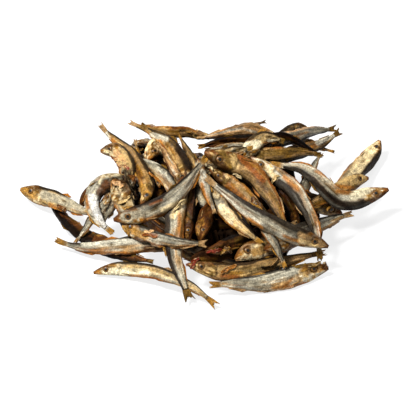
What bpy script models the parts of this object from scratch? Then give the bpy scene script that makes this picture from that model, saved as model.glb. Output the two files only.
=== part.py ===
"""A heap of dried Baltic sprats as it lies on a flat surface: one solid, in metres.

+Z is up, the heap's front faces -Y, and the origin is on the flat underside.
Each sprat is read off a photo as a route from snout to tail, in pixels. The
heap's own surface gives its first height, and sprats that cross are then
pushed apart along the line of sight until each rests on the ones below.
"""

from math import cos, pi, radians, sin

import bmesh
import bpy
import numpy as np

# The photo: how it looks down on the heap, and how large a pixel is there.
VIEW_ELEVATION = 38.0
VIEW_DISTANCE = 1.54
PIXEL = 0.00082
PHOTO_MIDDLE = 208.0
# The photo's middle on the ground, measured from the middle of the heap.
AIM = (0.0036, 0.0220)

# The heap's surface: its top in the photo, its reach from there and its height.
TOP_COLUMN, TOP_ROW = 207.0, 163.0
REACH_COLUMNS = 204.0
REACH_ROWS_FRONT = 146.0
REACH_ROWS_BACK = 42.0
HEAP_HEIGHT = 0.056
BACK_FALL = 0.42
# Above 1 the heap is drawn up in the middle and runs out flat at the rim.
PEAKEDNESS = 1.5

# A sprat: how its body depth and its thickness go from the snout to the end of
# the tail fin, as shares of the greatest, and how thick it is for its depth.
ALONG_DEPTH = (0.0, 0.03, 0.08, 0.14, 0.20, 0.30, 0.42, 0.55, 0.68, 0.80, 0.87, 0.91, 0.95, 1.0)
DEPTHS = (0.12, 0.34, 0.59, 0.81, 0.94, 1.0, 0.97, 0.86, 0.68, 0.45, 0.29, 0.29, 0.40, 0.52)
ALONG_THICKNESS = (0.0, 0.03, 0.10, 0.18, 0.30, 0.50, 0.70, 0.87, 0.92, 1.0)
THICKNESSES = (0.16, 0.42, 0.84, 1.0, 0.95, 0.86, 0.60, 0.30, 0.18, 0.12)
THICKNESS_SHARE = 0.46

# How the sprats settle.
STATIONS = 25
CLOSENESS = 0.88
PASSES = 120
PUSH = 0.55
DRAW = 1.5
PULL = 0.007
TOUCH = 0.0015
FIRM_SHARE = 0.75
LEAST_NEED = 0.0007
# How much of each bend a pass leaves: height, slope, one arch, an S and so on.
BENDS = (1.0, 1.0, 0.97, 0.90, 0.80, 0.60)
GROUND_GAP = 0.0004

# The solid shows each sprat with few faces, and with fewer where it is slim or
# lies inside the heap or behind it.
RINGS = (0.0, 0.05, 0.17, 0.34, 0.54, 0.74, 0.89, 1.0)
FEW_RINGS = (0.0, 0.10, 0.36, 0.72, 1.0)
SLIM = 0.0051
SIDES = 6
THINNEST = 0.0009
SIDE_GAIN = 0.0006
SOLVER = "MANIFOLD"

# Each row: name, the side its back lies on in the photo, how far the back leans
# to the viewer and how far it twists on the way (degrees), its greatest body
# depth in mm, and its route from snout to tail (column, row). Later rows lie
# over earlier ones.
SPRATS = (
    ("inner_back_left", "left", 0, 0, 12,
     ((174, 170), (167, 155), (160, 143), (156, 133))),
    ("inner_back_right", "left", 0, 0, 12,
     ((262, 166), (256, 151), (250, 140), (246, 131))),
    ("inner_front", "left", 0, 0, 12,
     ((262, 240), (266, 256), (268, 270), (266, 283))),
    ("inner_low_left", "down", 0, 0, 14,
     ((152, 244), (168, 239), (188, 232), (208, 226))),
    ("inner_low_middle", "up", 0, 0, 14.5,
     ((190, 260), (210, 255), (232, 250), (256, 246), (282, 244))),
    ("inner_middle", "up", 0, 0, 13.5,
     ((170, 230), (195, 225), (220, 222), (246, 222), (272, 228))),
    ("inner_left", "up", 0, 0, 13.5,
     ((124, 204), (142, 207), (165, 206), (190, 200))),
    ("inner_right", "up", 0, 0, 13.5,
     ((264, 216), (286, 209), (308, 201), (330, 194))),
    ("inner_upper", "down", 0, 0, 13.5,
     ((166, 180), (190, 173), (214, 169), (240, 167), (264, 169))),
    ("inner_upper_left", "right", 0, 0, 12.5,
     ((156, 200), (160, 186), (166, 170), (174, 156))),
    ("inner_high", "up", 0, 0, 12.5,
     ((206, 160), (230, 157), (256, 159), (282, 166))),
    ("inner_side_right", "left", 0, 0, 13,
     ((320, 240), (315, 227), (309, 213), (301, 200), (290, 189))),
    ("inner_side_left", "right", 0, 0, 13,
     ((142, 228), (132, 214), (125, 200), (121, 184))),
    ("back_spike", "up", 20, 0, 7,
     ((224, 137), (240, 131), (254, 125), (267, 121))),
    ("back_left_twist", "down", -30, 120, 12.5,
     ((216, 138), (200, 135), (185, 132), (168, 132), (152, 130), (140, 127), (128, 121))),
    ("back_right_twist", "down", 10, 120, 12,
     ((284, 141), (268, 135), (252, 130), (236, 131), (220, 134), (206, 137), (194, 138))),
    ("back_under", "up", 15, 0, 12,
     ((270, 143), (250, 142), (232, 142), (218, 143), (208, 145), (197, 147))),
    ("back_pale", "down", 0, 0, 7,
     ((266, 150), (248, 148), (232, 146), (218, 148), (204, 150))),
    ("upper_right_head", "up", 20, 0, 12.5,
     ((307, 127), (297, 129), (286, 135), (272, 144), (252, 156))),
    ("upper_right_spike", "up", 0, 0, 7,
     ((278, 141), (298, 141), (312, 144), (324, 149), (335, 152))),
    ("upper_right_one", "down", 0, 0, 12,
     ((262, 147), (278, 141), (295, 136), (312, 132), (326, 130), (338, 128))),
    ("upper_right_two", "down", 0, 0, 12.5,
     ((268, 162), (288, 155), (304, 150), (319, 145), (332, 137), (342, 130))),
    ("dark_arch", "up", 50, 0, 10,
     ((254, 152), (262, 144), (272, 138), (283, 136), (296, 141), (309, 149), (324, 157))),
    ("green_flank", "down", 0, 0, 12,
     ((242, 160), (258, 156), (275, 154), (292, 153), (306, 153), (322, 155))),
    ("torn_head", "up", 0, 0, 13.5,
     ((243, 158), (249, 150), (255, 143), (263, 138), (273, 138), (285, 142))),
    ("hanging_tail", "left", 0, 0, 10,
     ((294, 212), (301, 196), (307, 180), (313, 167), (322, 152))),
    ("right_gold", "up", 20, 0, 14.5,
     ((342, 214), (328, 208), (314, 202), (298, 196), (276, 186))),
    ("right_high_head", "right", 15, 0, 16.5,
     ((380, 140), (375, 149), (365, 162), (354, 173), (344, 184), (334, 198), (324, 210))),
    ("right_mid_head", "up", 0, 0, 13.5,
     ((369, 178), (358, 180), (346, 186), (332, 194), (314, 203), (296, 210))),
    ("right_wave", "down", 20, 0, 17,
     ((389, 189), (371, 195), (353, 200), (338, 198), (326, 187), (315, 176), (300, 168), (285, 166), (268, 164))),
    ("upper_mid_twist", "right", 0, 90, 9,
     ((203, 192), (194, 168), (190, 156), (184, 145), (178, 133))),
    ("spike_left", "left", 0, 0, 7,
     ((148, 196), (144, 181), (140, 165), (137, 151), (135, 138))),
    ("spike_right", "left", 0, 0, 6.5,
     ((160, 188), (154, 171), (150, 156), (152, 139))),
    ("cream_cheek", "right", 0, 0, 14.5,
     ((146, 161), (153, 151), (161, 145), (172, 154), (186, 176))),
    ("left_peeking_head", "up", 0, 0, 13,
     ((80, 207), (87, 198), (96, 191), (109, 186), (124, 186), (146, 191))),
    ("left_dark", "left", 35, 0, 14.5,
     ((116, 244), (103, 242), (88, 237), (74, 227), (59, 213), (45, 196))),
    ("low_left_end", "down", 0, 0, 10,
     ((92, 246), (106, 250), (120, 254), (136, 258), (154, 262))),
    ("left_head", "up", 0, 0, 15.5,
     ((20, 189), (36, 194), (52, 199), (66, 204), (80, 210), (97, 216))),
    ("mid_upper_pale", "up", 0, 0, 12,
     ((190, 206), (174, 189), (164, 176), (153, 166), (141, 161), (128, 163))),
    ("mid_upper_big", "right", 10, 0, 15.5,
     ((182, 190), (182, 177), (180, 163), (172, 149), (161, 138), (150, 132), (140, 124))),
    ("mid_thin", "left", 20, 0, 7.5,
     ((181, 184), (172, 166), (164, 152), (157, 141))),
    ("left_down_head", "right", 10, 0, 13,
     ((141, 205), (147, 193), (146, 180), (139, 167), (131, 155), (119, 143), (108, 134), (99, 123))),
    ("upper_left_head", "right", 0, 0, 14.5,
     ((100, 151), (115, 151), (124, 161), (127, 176), (126, 192), (131, 210))),
    ("bottom_left", "up", 0, 0, 12,
     ((93, 273), (108, 270), (126, 269), (144, 271), (160, 274), (176, 279), (191, 286), (205, 296), (219, 308))),
    ("low_left_long", "up", 0, 60, 15,
     ((188, 246), (168, 244), (148, 243), (130, 245), (110, 247), (90, 248), (70, 245), (53, 239))),
    ("left_flank", "left", 0, 0, 14.5,
     ((136, 176), (122, 188), (113, 200), (107, 212), (101, 226))),
    ("left_stub", "left", 0, 0, 8,
     ((112, 190), (102, 208), (92, 220), (84, 231), (74, 244))),
    ("left_white", "right", 10, 0, 15,
     ((130, 178), (110, 182), (98, 188), (92, 199), (93, 211), (101, 223), (114, 234))),
    ("cream_mass", "right", 10, 0, 17,
     ((112, 180), (119, 189), (124, 202), (130, 216), (146, 230))),
    ("mid_right_dark", "left", 30, 0, 11,
     ((300, 233), (294, 218), (288, 204), (280, 190), (270, 176), (262, 160))),
    ("white_cheek", "left", 0, 0, 12,
     ((203, 178), (208, 169), (214, 160), (230, 152), (254, 148))),
    ("mid_grey", "left", 0, 0, 10,
     ((187, 170), (193, 182), (199, 196), (207, 208), (216, 222))),
    ("deep_head_left", "right", 0, 0, 12.5,
     ((188, 243), (187, 226), (188, 212), (190, 198), (196, 170))),
    ("deep_head_right", "right", 0, 0, 12.5,
     ((200, 241), (203, 227), (208, 213), (216, 200), (232, 182))),
    ("deep_front", "up", 10, 0, 12.5,
     ((205, 252), (220, 248), (236, 242), (254, 236), (272, 230), (300, 222))),
    ("center_gold", "down", 0, 0, 12,
     ((209, 169), (224, 178), (238, 188), (250, 200), (260, 210), (275, 224))),
    ("center_dark", "up", 50, 0, 11,
     ((214, 186), (226, 198), (237, 212), (246, 226), (258, 238), (270, 250))),
    ("front_head", "up", 0, 0, 16.5,
     ((235, 260), (248, 252), (266, 248), (284, 243), (302, 236), (322, 224))),
    ("center_pale", "right", 0, 40, 13.5,
     ((206, 176), (214, 192), (224, 208), (236, 223), (250, 234), (263, 245))),
    ("center_thin", "right", 0, 0, 9,
     ((197, 158), (203, 180), (207, 192), (212, 204), (215, 215))),
    ("right_tail", "up", 10, 0, 15.5,
     ((264, 250), (284, 241), (298, 234), (312, 228), (326, 222), (340, 217), (354, 213))),
    ("front_mid", "up", 0, 0, 14.5,
     ((187, 264), (203, 268), (222, 272), (242, 271), (262, 267), (284, 262), (306, 256), (328, 252))),
    ("front_right", "up", 0, 0, 16.5,
     ((329, 268), (314, 270), (299, 275), (284, 280), (268, 283), (250, 284), (230, 284), (208, 285))),
    ("right_curve", "left", 20, 0, 14.5,
     ((250, 157), (263, 166), (278, 177), (292, 188), (303, 202), (311, 217), (316, 233), (319, 248), (320, 262))),
    ("front_tail_down", "right", 0, 0, 10,
     ((252, 196), (262, 218), (269, 233), (275, 245), (281, 257), (286, 269))),
    ("center_vertical", "left", 10, 0, 16.5,
     ((184, 176), (178, 200), (175, 220), (174, 240), (176, 262), (183, 283), (191, 303))),
    ("crossing_low", "up", 0, 0, 12.5,
     ((120, 222), (136, 231), (152, 237), (170, 242), (188, 243), (209, 244))),
    ("main_left", "up", 15, 0, 16.5,
     ((113, 220), (127, 217), (145, 213), (162, 206), (176, 196), (189, 182), (200, 166), (209, 153))),
    ("main_right", "down", 10, 0, 18,
     ((204, 151), (221, 159), (242, 167), (259, 180), (270, 196), (279, 213), (289, 234))),
    ("main_diagonal", "up", 15, 0, 16,
     ((329, 247), (316, 242), (300, 237), (280, 229), (262, 220), (245, 209), (230, 197), (216, 186), (203, 175))),
)

# The heap's hidden side, laid out the same way as it would look from behind.
BEHIND_TOP_ROW = 196.0
BEHIND_HEIGHT = 0.038
BEHIND_FOOT_ROW = 284.0
BEHIND_REACH_COLUMNS = 100.0
BEHIND_SIDE_FALL = 0.012
BEHIND_DIP_COLUMN, BEHIND_DIP_REACH = 220.0, 17.0
BEHIND_DIP = 0.011
SPRATS_BEHIND = (
    ("behind_flank_left", "left", 0, 0, 13,
     ((122, 196), (113, 184), (107, 172), (104, 158))),
    ("behind_flank_right", "right", 0, 0, 13,
     ((294, 240), (295, 218), (290, 198), (282, 180), (276, 166))),
    ("behind_crest_left", "down", 0, 0, 12.5,
     ((168, 170), (154, 182), (142, 195), (131, 214))),
    ("behind_crest_middle", "up", 0, 0, 12.5,
     ((204, 192), (188, 184), (170, 180), (150, 178), (130, 184))),
    ("behind_crest_right", "right", 0, 0, 12.5,
     ((240, 218), (244, 200), (252, 184), (264, 170))),
    ("behind_side_right", "left", 0, 0, 13,
     ((258, 176), (266, 192), (275, 210), (283, 228), (288, 246))),
    ("behind_ridge_left", "up", 0, 0, 13,
     ((130, 222), (148, 210), (168, 203), (188, 203), (208, 210))),
    ("behind_ridge_right", "up", 10, 0, 13,
     ((296, 226), (280, 216), (262, 211), (246, 213), (232, 222))),
    ("behind_valley_left", "left", 0, 0, 12,
     ((204, 250), (209, 236), (213, 220), (215, 204), (214, 190))),
    ("behind_valley_right", "right", 0, 0, 12,
     ((230, 196), (228, 210), (227, 224), (228, 238), (232, 252))),
    ("behind_upper_left", "up", 0, 0, 13.5,
     ((128, 238), (148, 230), (168, 224), (186, 217), (202, 205))),
    ("behind_upper_right", "down", 0, 30, 13.5,
     ((298, 242), (284, 234), (268, 229), (252, 224), (240, 214))),
    ("behind_valley_middle", "left", 0, 0, 12,
     ((220, 254), (220, 240), (221, 226), (220, 212), (222, 198))),
    ("behind_foot_left", "up", 0, 0, 13.5,
     ((130, 244), (144, 254), (162, 259), (182, 258), (202, 250))),
    ("behind_foot_right", "up", 0, 0, 14.5,
     ((298, 246), (286, 255), (270, 260), (254, 258), (238, 250))),
    ("behind_slope_left", "right", 10, 0, 13.5,
     ((134, 260), (140, 245), (151, 228), (164, 212), (180, 196))),
    ("behind_low_right", "right", 0, 0, 12.5,
     ((250, 262), (250, 246), (256, 228), (266, 210), (278, 194))),
    ("behind_foot_middle", "down", 0, 40, 13.5,
     ((140, 258), (158, 265), (176, 266), (196, 260))),
    ("behind_slope_right", "left", 15, 0, 13.5,
     ((290, 260), (279, 246), (266, 234), (252, 222), (238, 208))),
    ("behind_high", "down", 0, 0, 12.5,
     ((210, 238), (192, 234), (174, 226), (157, 214), (144, 198))),
    ("behind_crossing", "up", 0, 0, 12.5,
     ((130, 250), (148, 247), (168, 244), (188, 240), (206, 228))),
)

# The core that the sprats rest on and are fused with: its outline on the ground
# round the photo's middle, clear of the gaps that show the table, and how it
# meets the sprats.
CORE_OUTLINE = (
    (-0.031, -0.058), (-0.014, -0.073), (0.004, -0.083), (0.030, -0.090), (0.053, -0.104),
    (0.060, -0.070), (0.068, -0.046), (0.091, -0.034), (0.092, -0.012), (0.070, 0.006),
    (0.060, 0.030), (0.055, 0.054), (0.044, 0.070), (0.026, 0.075), (0.009, 0.065),
    (-0.009, 0.057), (-0.026, 0.065), (-0.046, 0.073), (-0.061, 0.060), (-0.068, 0.040),
    (-0.071, 0.018), (-0.060, -0.006), (-0.051, -0.038),
)
CORE_MIDDLE = (0.004, -0.024)
CORE_STEPS = (1.0, 0.84, 0.64, 0.42, 0.20)
CORE_RIM = 0.005
CORE_FEEL = 0.010
CORE_SINK = 0.0015
CORE_TOP = 0.048
# Behind the crest the heap falls away, and there the photo shows the table.
VALLEY_X, VALLEY_HALF, VALLEY_FRONT = -0.008, 0.013, 0.028
VALLEY_SLOPE = 0.74


class View:
    """A camera that looks down on the heap's middle, from the front or from behind."""

    def __init__(self, azimuth):
        turn, tilt = radians(azimuth), radians(VIEW_ELEVATION)
        self.forward = np.array([sin(turn) * cos(tilt), cos(turn) * cos(tilt), -sin(tilt)])
        self.right = np.array([cos(turn), -sin(turn), 0.0])
        self.up = np.cross(self.right, self.forward)
        self.eye = np.array([*AIM, 0.0]) - self.forward * VIEW_DISTANCE

    def rays(self, pixels):
        across = (pixels[..., 0] - PHOTO_MIDDLE) * PIXEL / VIEW_DISTANCE
        above = (PHOTO_MIDDLE - pixels[..., 1]) * PIXEL / VIEW_DISTANCE
        return self.forward + across[..., None] * self.right + above[..., None] * self.up

    def depth_at_height(self, pixels, height):
        return (height - self.eye[2]) / self.rays(pixels)[..., 2]

    def points(self, pixels, depth):
        return self.eye + self.rays(pixels) * depth[..., None]


def front_surface(pixels):
    """The height of the heap's surface at a pixel of the photo."""
    sideways = (pixels[..., 0] - TOP_COLUMN) / REACH_COLUMNS
    forward = np.clip((pixels[..., 1] - TOP_ROW) / REACH_ROWS_FRONT, 0, None)
    backward = np.clip((TOP_ROW - pixels[..., 1]) / REACH_ROWS_BACK, 0, 1.3)
    dome = np.clip(1 - sideways**2 - forward**2, 0, None) ** PEAKEDNESS
    return HEAP_HEIGHT * dome * (1 - BACK_FALL * backward**2)


def rear_surface(pixels):
    """The height of the heap's surface at a pixel of the view from behind."""
    down = (pixels[..., 1] - BEHIND_TOP_ROW) / (BEHIND_FOOT_ROW - BEHIND_TOP_ROW)
    sideways = (pixels[..., 0] - PHOTO_MIDDLE) / BEHIND_REACH_COLUMNS
    dip = np.exp(-(((pixels[..., 0] - BEHIND_DIP_COLUMN) / BEHIND_DIP_REACH) ** 2))
    return BEHIND_HEIGHT * (1 - down) - BEHIND_SIDE_FALL * sideways**2 - BEHIND_DIP * dip


def smooth_route(corners, count):
    """Evenly spaced points on a smooth curve through the corners."""
    corners = np.asarray(corners, float)
    ends = 2 * corners[0] - corners[1], 2 * corners[-1] - corners[-2]
    p = np.vstack([ends[0], corners, ends[1]])
    t = np.linspace(0, 1, 24, endpoint=False)[:, None]
    pieces = []
    for a, b, c, d in zip(p, p[1:], p[2:], p[3:]):
        cubic = (3 * b - a - 3 * c + d) * t**3
        square = (2 * a - 5 * b + 4 * c - d) * t**2
        pieces.append(0.5 * (2 * b + (c - a) * t + square + cubic))
    curve = np.vstack([*pieces, corners[-1:]])
    steps = np.linalg.norm(np.diff(curve, axis=0), axis=1)
    run = np.concatenate([[0], np.cumsum(steps)])
    at = np.linspace(0, run[-1], count)
    return np.stack([np.interp(at, run, curve[:, k]) for k in (0, 1)], axis=1)


ALONG = np.linspace(0, 1, STATIONS)
DEPTH_ALONG = np.interp(ALONG, ALONG_DEPTH, DEPTHS)
THICKNESS_ALONG = np.interp(ALONG, ALONG_THICKNESS, THICKNESSES) * THICKNESS_SHARE


class Sprat:
    """One sprat: its route in the photo, and how much room it takes there."""

    def __init__(self, name, back, roll, twist, depth_mm, corners):
        self.name = name
        self.back = {"up": (0, 1), "down": (0, -1), "left": (-1, 0), "right": (1, 0)}[back]
        self.pixels = smooth_route(corners, STATIONS)
        self.turn = np.radians(roll + twist * (ALONG - 0.5))
        self.half_depth = DEPTH_ALONG * depth_mm / 2000
        self.half_thickness = THICKNESS_ALONG * depth_mm / 2000
        flat, upright = np.cos(self.turn), np.sin(self.turn)
        self.across = np.hypot(self.half_depth * flat, self.half_thickness * upright)
        self.toward = np.hypot(self.half_depth * upright, self.half_thickness * flat)


def contacts(sprats):
    """Every place where a sprat crosses an earlier one, and the room both need there."""
    upper, lower, room, firm = [], [], [], []
    for a, over in enumerate(sprats):
        for b, under in enumerate(sprats[:a]):
            apart = np.linalg.norm(over.pixels[:, None] - under.pixels[None], axis=2)
            reach = (over.across[:, None] + under.across[None]) / PIXEL
            share = np.sqrt(np.clip(1 - (apart / reach) ** 2, 0, 1))
            need = (over.toward[:, None] + under.toward[None]) * share
            i, j = np.nonzero(need > LEAST_NEED)
            upper.append(a * STATIONS + i)
            lower.append(b * STATIONS + j)
            room.append(need[i, j] * CLOSENESS)
            firm.append(share[i, j] > FIRM_SHARE)
    return [np.concatenate(part) for part in (upper, lower, room, firm)]


def settle(sprats, view, surface):
    """Gives each sprat its spine, on the heap's surface but clear of those it crosses."""
    pixels = np.array([sprat.pixels for sprat in sprats])
    across = np.array([sprat.across for sprat in sprats])
    toward = np.array([sprat.toward for sprat in sprats])
    tilt = radians(VIEW_ELEVATION)
    lowest = np.hypot(across * cos(tilt), toward * sin(tilt)) + GROUND_GAP
    floor = view.depth_at_height(pixels, lowest)
    first = view.depth_at_height(pixels, surface(pixels))
    waves = np.cos(pi * np.outer(ALONG, np.arange(len(BENDS))))
    smooth = (waves * BENDS @ np.linalg.pinv(waves)).T
    upper, lower, room, firm = contacts(sprats)
    depth = np.minimum(first, floor)
    for _ in range(PASSES):
        flat = depth.ravel()
        gap = flat[lower] - flat[upper] - room
        short = np.clip(-gap, 0, None)
        nearer, farther = np.zeros(flat.shape), np.zeros(flat.shape)
        np.maximum.at(nearer, upper, short)
        np.maximum.at(farther, lower, short)
        push = (farther - nearer) * PUSH
        # A sprat that touches no other is drawn to the one it comes closest to.
        closest = np.full(len(sprats), np.inf)
        np.minimum.at(closest, upper[firm] // STATIONS, gap[firm])
        np.minimum.at(closest, lower[firm] // STATIONS, gap[firm])
        nearest = np.maximum(closest[upper // STATIONS], closest[lower // STATIONS])
        loose = firm & (gap <= nearest) & (gap > -TOUCH)
        draw = (gap[loose] + TOUCH) * DRAW
        np.add.at(push, upper[loose], draw)
        np.add.at(push, lower[loose], -draw)
        depth = (depth + push.reshape(depth.shape) + (first - depth) * PULL) @ smooth
        depth = np.minimum(depth, floor)
    for sprat, at in zip(sprats, depth):
        sprat.spine = view.points(sprat.pixels, at)
        steer(sprat, view)


def steer(sprat, view):
    """Works out which way the sprat's back and its flank face along the spine."""
    ahead = unit(np.gradient(sprat.spine, axis=0))
    to_eye = unit(view.eye - sprat.spine)
    aside = unit(np.cross(ahead, to_eye))
    shown = aside[STATIONS // 3] @ np.array([view.right, view.up]).T
    if shown @ np.array(sprat.back) < 0:
        aside = -aside
    facing = np.cross(aside, ahead)
    facing *= np.sign((facing * to_eye).sum(axis=1))[:, None]
    turn = sprat.turn[:, None]
    sprat.dorsal = np.cos(turn) * aside + np.sin(turn) * facing
    sprat.flank = np.cross(ahead, sprat.dorsal)


def unit(vectors):
    return vectors / np.linalg.norm(vectors, axis=-1, keepdims=True)


def mesh_object(name, points, faces):
    mesh = bpy.data.meshes.new(name)
    mesh.from_pydata([tuple(p) for p in points], [], faces)
    shape = bmesh.new()
    shape.from_mesh(mesh)
    bmesh.ops.recalc_face_normals(shape, faces=shape.faces)
    shape.to_mesh(mesh)
    shape.free()
    return bpy.data.objects.new(name, mesh)


def sprat_object(sprat):
    """A six-sided body that tapers to the snout and spreads into the tail fin."""
    slim = sprat.half_depth.max() < SLIM
    rings = FEW_RINGS if slim or sprat.name.startswith(("inner", "behind")) else RINGS
    points = []
    for s in rings:
        middle, dorsal, flank = (along(way, s) for way in (sprat.spine, sprat.dorsal, sprat.flank))
        deep = max(float(np.interp(s, ALONG, sprat.half_depth)), THINNEST)
        thick = max(float(np.interp(s, ALONG, sprat.half_thickness)) + SIDE_GAIN, THINNEST)
        for side in range(SIDES):
            angle = 2 * pi * side / SIDES
            points.append(middle + dorsal * deep * cos(angle) + flank * thick * sin(angle))
    faces = []
    for ring in range(len(rings) - 1):
        for side in range(SIDES):
            a, b = ring * SIDES + side, ring * SIDES + (side + 1) % SIDES
            faces.append((a, b, b + SIDES, a + SIDES))
    faces.append(tuple(range(SIDES)))
    faces.append(tuple(range(len(points) - SIDES, len(points))))
    return mesh_object(sprat.name, points, faces)


def along(values, s):
    return np.array([np.interp(s, ALONG, values[:, k]) for k in range(3)])


def core_object(sprats):
    """A lumpy mound with a flat underside, as high as the lowest sprats over it."""
    spines = np.concatenate([sprat.spine for sprat in sprats])
    outline = np.add(CORE_OUTLINE, AIM)
    middle = np.add(CORE_MIDDLE, AIM)
    sectors = len(outline)
    plan = [middle + (outline - middle) * step for step in CORE_STEPS]
    points = [(x, y, 0.0) for x, y in plan[0]]
    for ring in plan:
        points += [(x, y, core_height(x, y, spines)) for x, y in ring]
    points += [(*middle, core_height(*middle, spines))]
    faces = [tuple(range(sectors))]
    for start in range(0, len(CORE_STEPS) * sectors, sectors):
        for sector in range(sectors):
            a, b = start + sector, start + (sector + 1) % sectors
            faces.append((a, b, b + sectors, a + sectors))
    last = len(CORE_STEPS) * sectors
    for sector in range(sectors):
        faces.append((last + sector, last + (sector + 1) % sectors, len(points) - 1))
    return mesh_object("sprat_heap", points, faces)


def core_height(x, y, spines):
    near = np.hypot(spines[:, 0] - x, spines[:, 1] - y) < CORE_FEEL
    lowest = spines[near, 2].min() if near.any() else 0.0
    top = CORE_TOP
    if abs(x - VALLEY_X) < VALLEY_HALF:
        top -= VALLEY_SLOPE * max(y - VALLEY_FRONT, 0)
    return float(np.clip(min(lowest - CORE_SINK, top), CORE_RIM, CORE_TOP))


def fuse(core, pieces):
    """Joins the pieces to the core as one closed solid."""
    group = bpy.data.collections.new("sprats")
    bpy.context.scene.collection.children.link(group)
    for piece in pieces:
        group.objects.link(piece)
    union = core.modifiers.new("sprats", "BOOLEAN")
    union.operation = "UNION"
    union.operand_type = "COLLECTION"
    union.collection = group
    union.solver = SOLVER
    bpy.context.view_layer.update()
    graph = bpy.context.evaluated_depsgraph_get()
    joined = bpy.data.meshes.new_from_object(core.evaluated_get(graph))
    core.modifiers.clear()
    core.data = joined
    for piece in pieces:
        bpy.data.objects.remove(piece)
    bpy.data.collections.remove(group)
    keep_main_shell(joined)


def keep_main_shell(mesh):
    """Drops loose scraps, and fills the hollows that the joining sealed."""
    shape = bmesh.new()
    shape.from_mesh(mesh)
    bmesh.ops.triangulate(shape, faces=shape.faces)
    shells, seen = [], set()
    for start in shape.faces:
        if start in seen:
            continue
        shell, front = [], [start]
        seen.add(start)
        while front:
            face = front.pop()
            shell.append(face)
            # Where four faces meet at an edge, two shells only touch.
            pairs = [edge.link_faces for edge in face.edges if len(edge.link_faces) == 2]
            for other in (other for pair in pairs for other in pair):
                if other not in seen:
                    seen.add(other)
                    front.append(other)
        shells.append(shell)
    shells.sort(key=len, reverse=True)
    for shell in shells[1:]:
        bmesh.ops.delete(shape, geom=shell, context="FACES")
    shape.to_mesh(mesh)
    shape.free()


def dried_skin():
    material = bpy.data.materials.new("dried_skin")
    material.use_nodes = True
    shader = material.node_tree.nodes["Principled BSDF"]
    shader.inputs["Base Color"].default_value = (0.32, 0.24, 0.14, 1.0)
    shader.inputs["Roughness"].default_value = 0.45
    return material


def main():
    for old in list(bpy.data.objects):
        bpy.data.objects.remove(old)
    shown = [Sprat(*row) for row in SPRATS]
    hidden = [Sprat(*row) for row in SPRATS_BEHIND]
    settle(shown, View(0), front_surface)
    settle(hidden, View(180), rear_surface)
    heap = core_object([*shown, *hidden])
    bpy.context.scene.collection.objects.link(heap)
    fuse(heap, [sprat_object(sprat) for sprat in (*shown, *hidden)])
    heap.data.materials.clear()
    heap.data.materials.append(dried_skin())


main()
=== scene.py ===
"""Dresses the heap of dried Baltic sprats: every sprat in full, lying as in the solid model.

The layout repeats the solid model's: each sprat is a route from snout to tail in
the photo's pixels, laid on the heap's surface and pushed clear of those it
crosses. Lengths are in metres unless a name says otherwise.
"""

from math import atan, cos, pi, radians, sin

import bpy
import numpy as np
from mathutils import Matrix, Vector
from mathutils.bvhtree import BVHTree


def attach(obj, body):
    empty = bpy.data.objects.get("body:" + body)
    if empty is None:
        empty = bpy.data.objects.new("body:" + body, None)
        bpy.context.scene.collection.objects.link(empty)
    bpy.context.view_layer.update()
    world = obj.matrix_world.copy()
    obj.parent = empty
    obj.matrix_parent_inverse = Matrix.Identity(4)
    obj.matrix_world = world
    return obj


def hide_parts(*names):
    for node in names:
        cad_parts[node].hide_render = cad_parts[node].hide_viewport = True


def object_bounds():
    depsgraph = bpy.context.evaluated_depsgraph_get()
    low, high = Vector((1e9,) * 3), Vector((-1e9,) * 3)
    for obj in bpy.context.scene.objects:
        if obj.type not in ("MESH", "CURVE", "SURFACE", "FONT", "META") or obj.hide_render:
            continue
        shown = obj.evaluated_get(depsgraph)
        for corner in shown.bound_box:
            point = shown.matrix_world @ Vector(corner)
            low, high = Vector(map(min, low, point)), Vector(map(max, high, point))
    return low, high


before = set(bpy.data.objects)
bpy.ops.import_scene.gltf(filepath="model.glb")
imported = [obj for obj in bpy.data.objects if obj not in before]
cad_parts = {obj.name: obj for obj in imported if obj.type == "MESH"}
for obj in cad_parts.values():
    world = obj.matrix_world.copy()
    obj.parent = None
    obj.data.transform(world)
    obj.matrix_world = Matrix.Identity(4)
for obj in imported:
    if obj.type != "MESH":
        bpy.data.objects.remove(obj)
CAD_BOX = np.array([list(corner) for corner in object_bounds()])

# The photo: how it looks down on the heap, and how large a pixel is there.
VIEW_ELEVATION = 38.0
VIEW_DISTANCE = 1.54
PIXEL = 0.00082
PHOTO_MIDDLE = 208.0
# The photo's middle on the ground, measured from the middle of the heap.
AIM = (0.0036, 0.0220)

# The heap's surface: its top in the photo, its reach from there and its height.
TOP_COLUMN, TOP_ROW = 207.0, 163.0
REACH_COLUMNS = 204.0
REACH_ROWS_FRONT = 146.0
REACH_ROWS_BACK = 42.0
HEAP_HEIGHT = 0.056
BACK_FALL = 0.42
PEAKEDNESS = 1.5
BEHIND_TOP_ROW = 196.0
BEHIND_HEIGHT = 0.038
BEHIND_FOOT_ROW = 284.0
BEHIND_REACH_COLUMNS = 100.0
BEHIND_SIDE_FALL = 0.012
BEHIND_DIP_COLUMN, BEHIND_DIP_REACH = 220.0, 17.0
BEHIND_DIP = 0.011

# A sprat: how its body depth and its thickness go from the snout to the end of
# the tail fin, as shares of the greatest, and how thick it is for its depth.
ALONG_DEPTH = (0.0, 0.03, 0.08, 0.14, 0.20, 0.30, 0.42, 0.55, 0.68, 0.80, 0.87, 0.91, 0.95, 1.0)
DEPTHS = (0.12, 0.34, 0.59, 0.81, 0.94, 1.0, 0.97, 0.86, 0.68, 0.45, 0.29, 0.29, 0.40, 0.52)
ALONG_THICKNESS = (0.0, 0.03, 0.10, 0.18, 0.30, 0.50, 0.70, 0.87, 0.92, 1.0)
THICKNESSES = (0.16, 0.42, 0.84, 1.0, 0.95, 0.86, 0.60, 0.30, 0.18, 0.12)
THICKNESS_SHARE = 0.46
USUAL_DEPTH = 0.016

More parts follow.
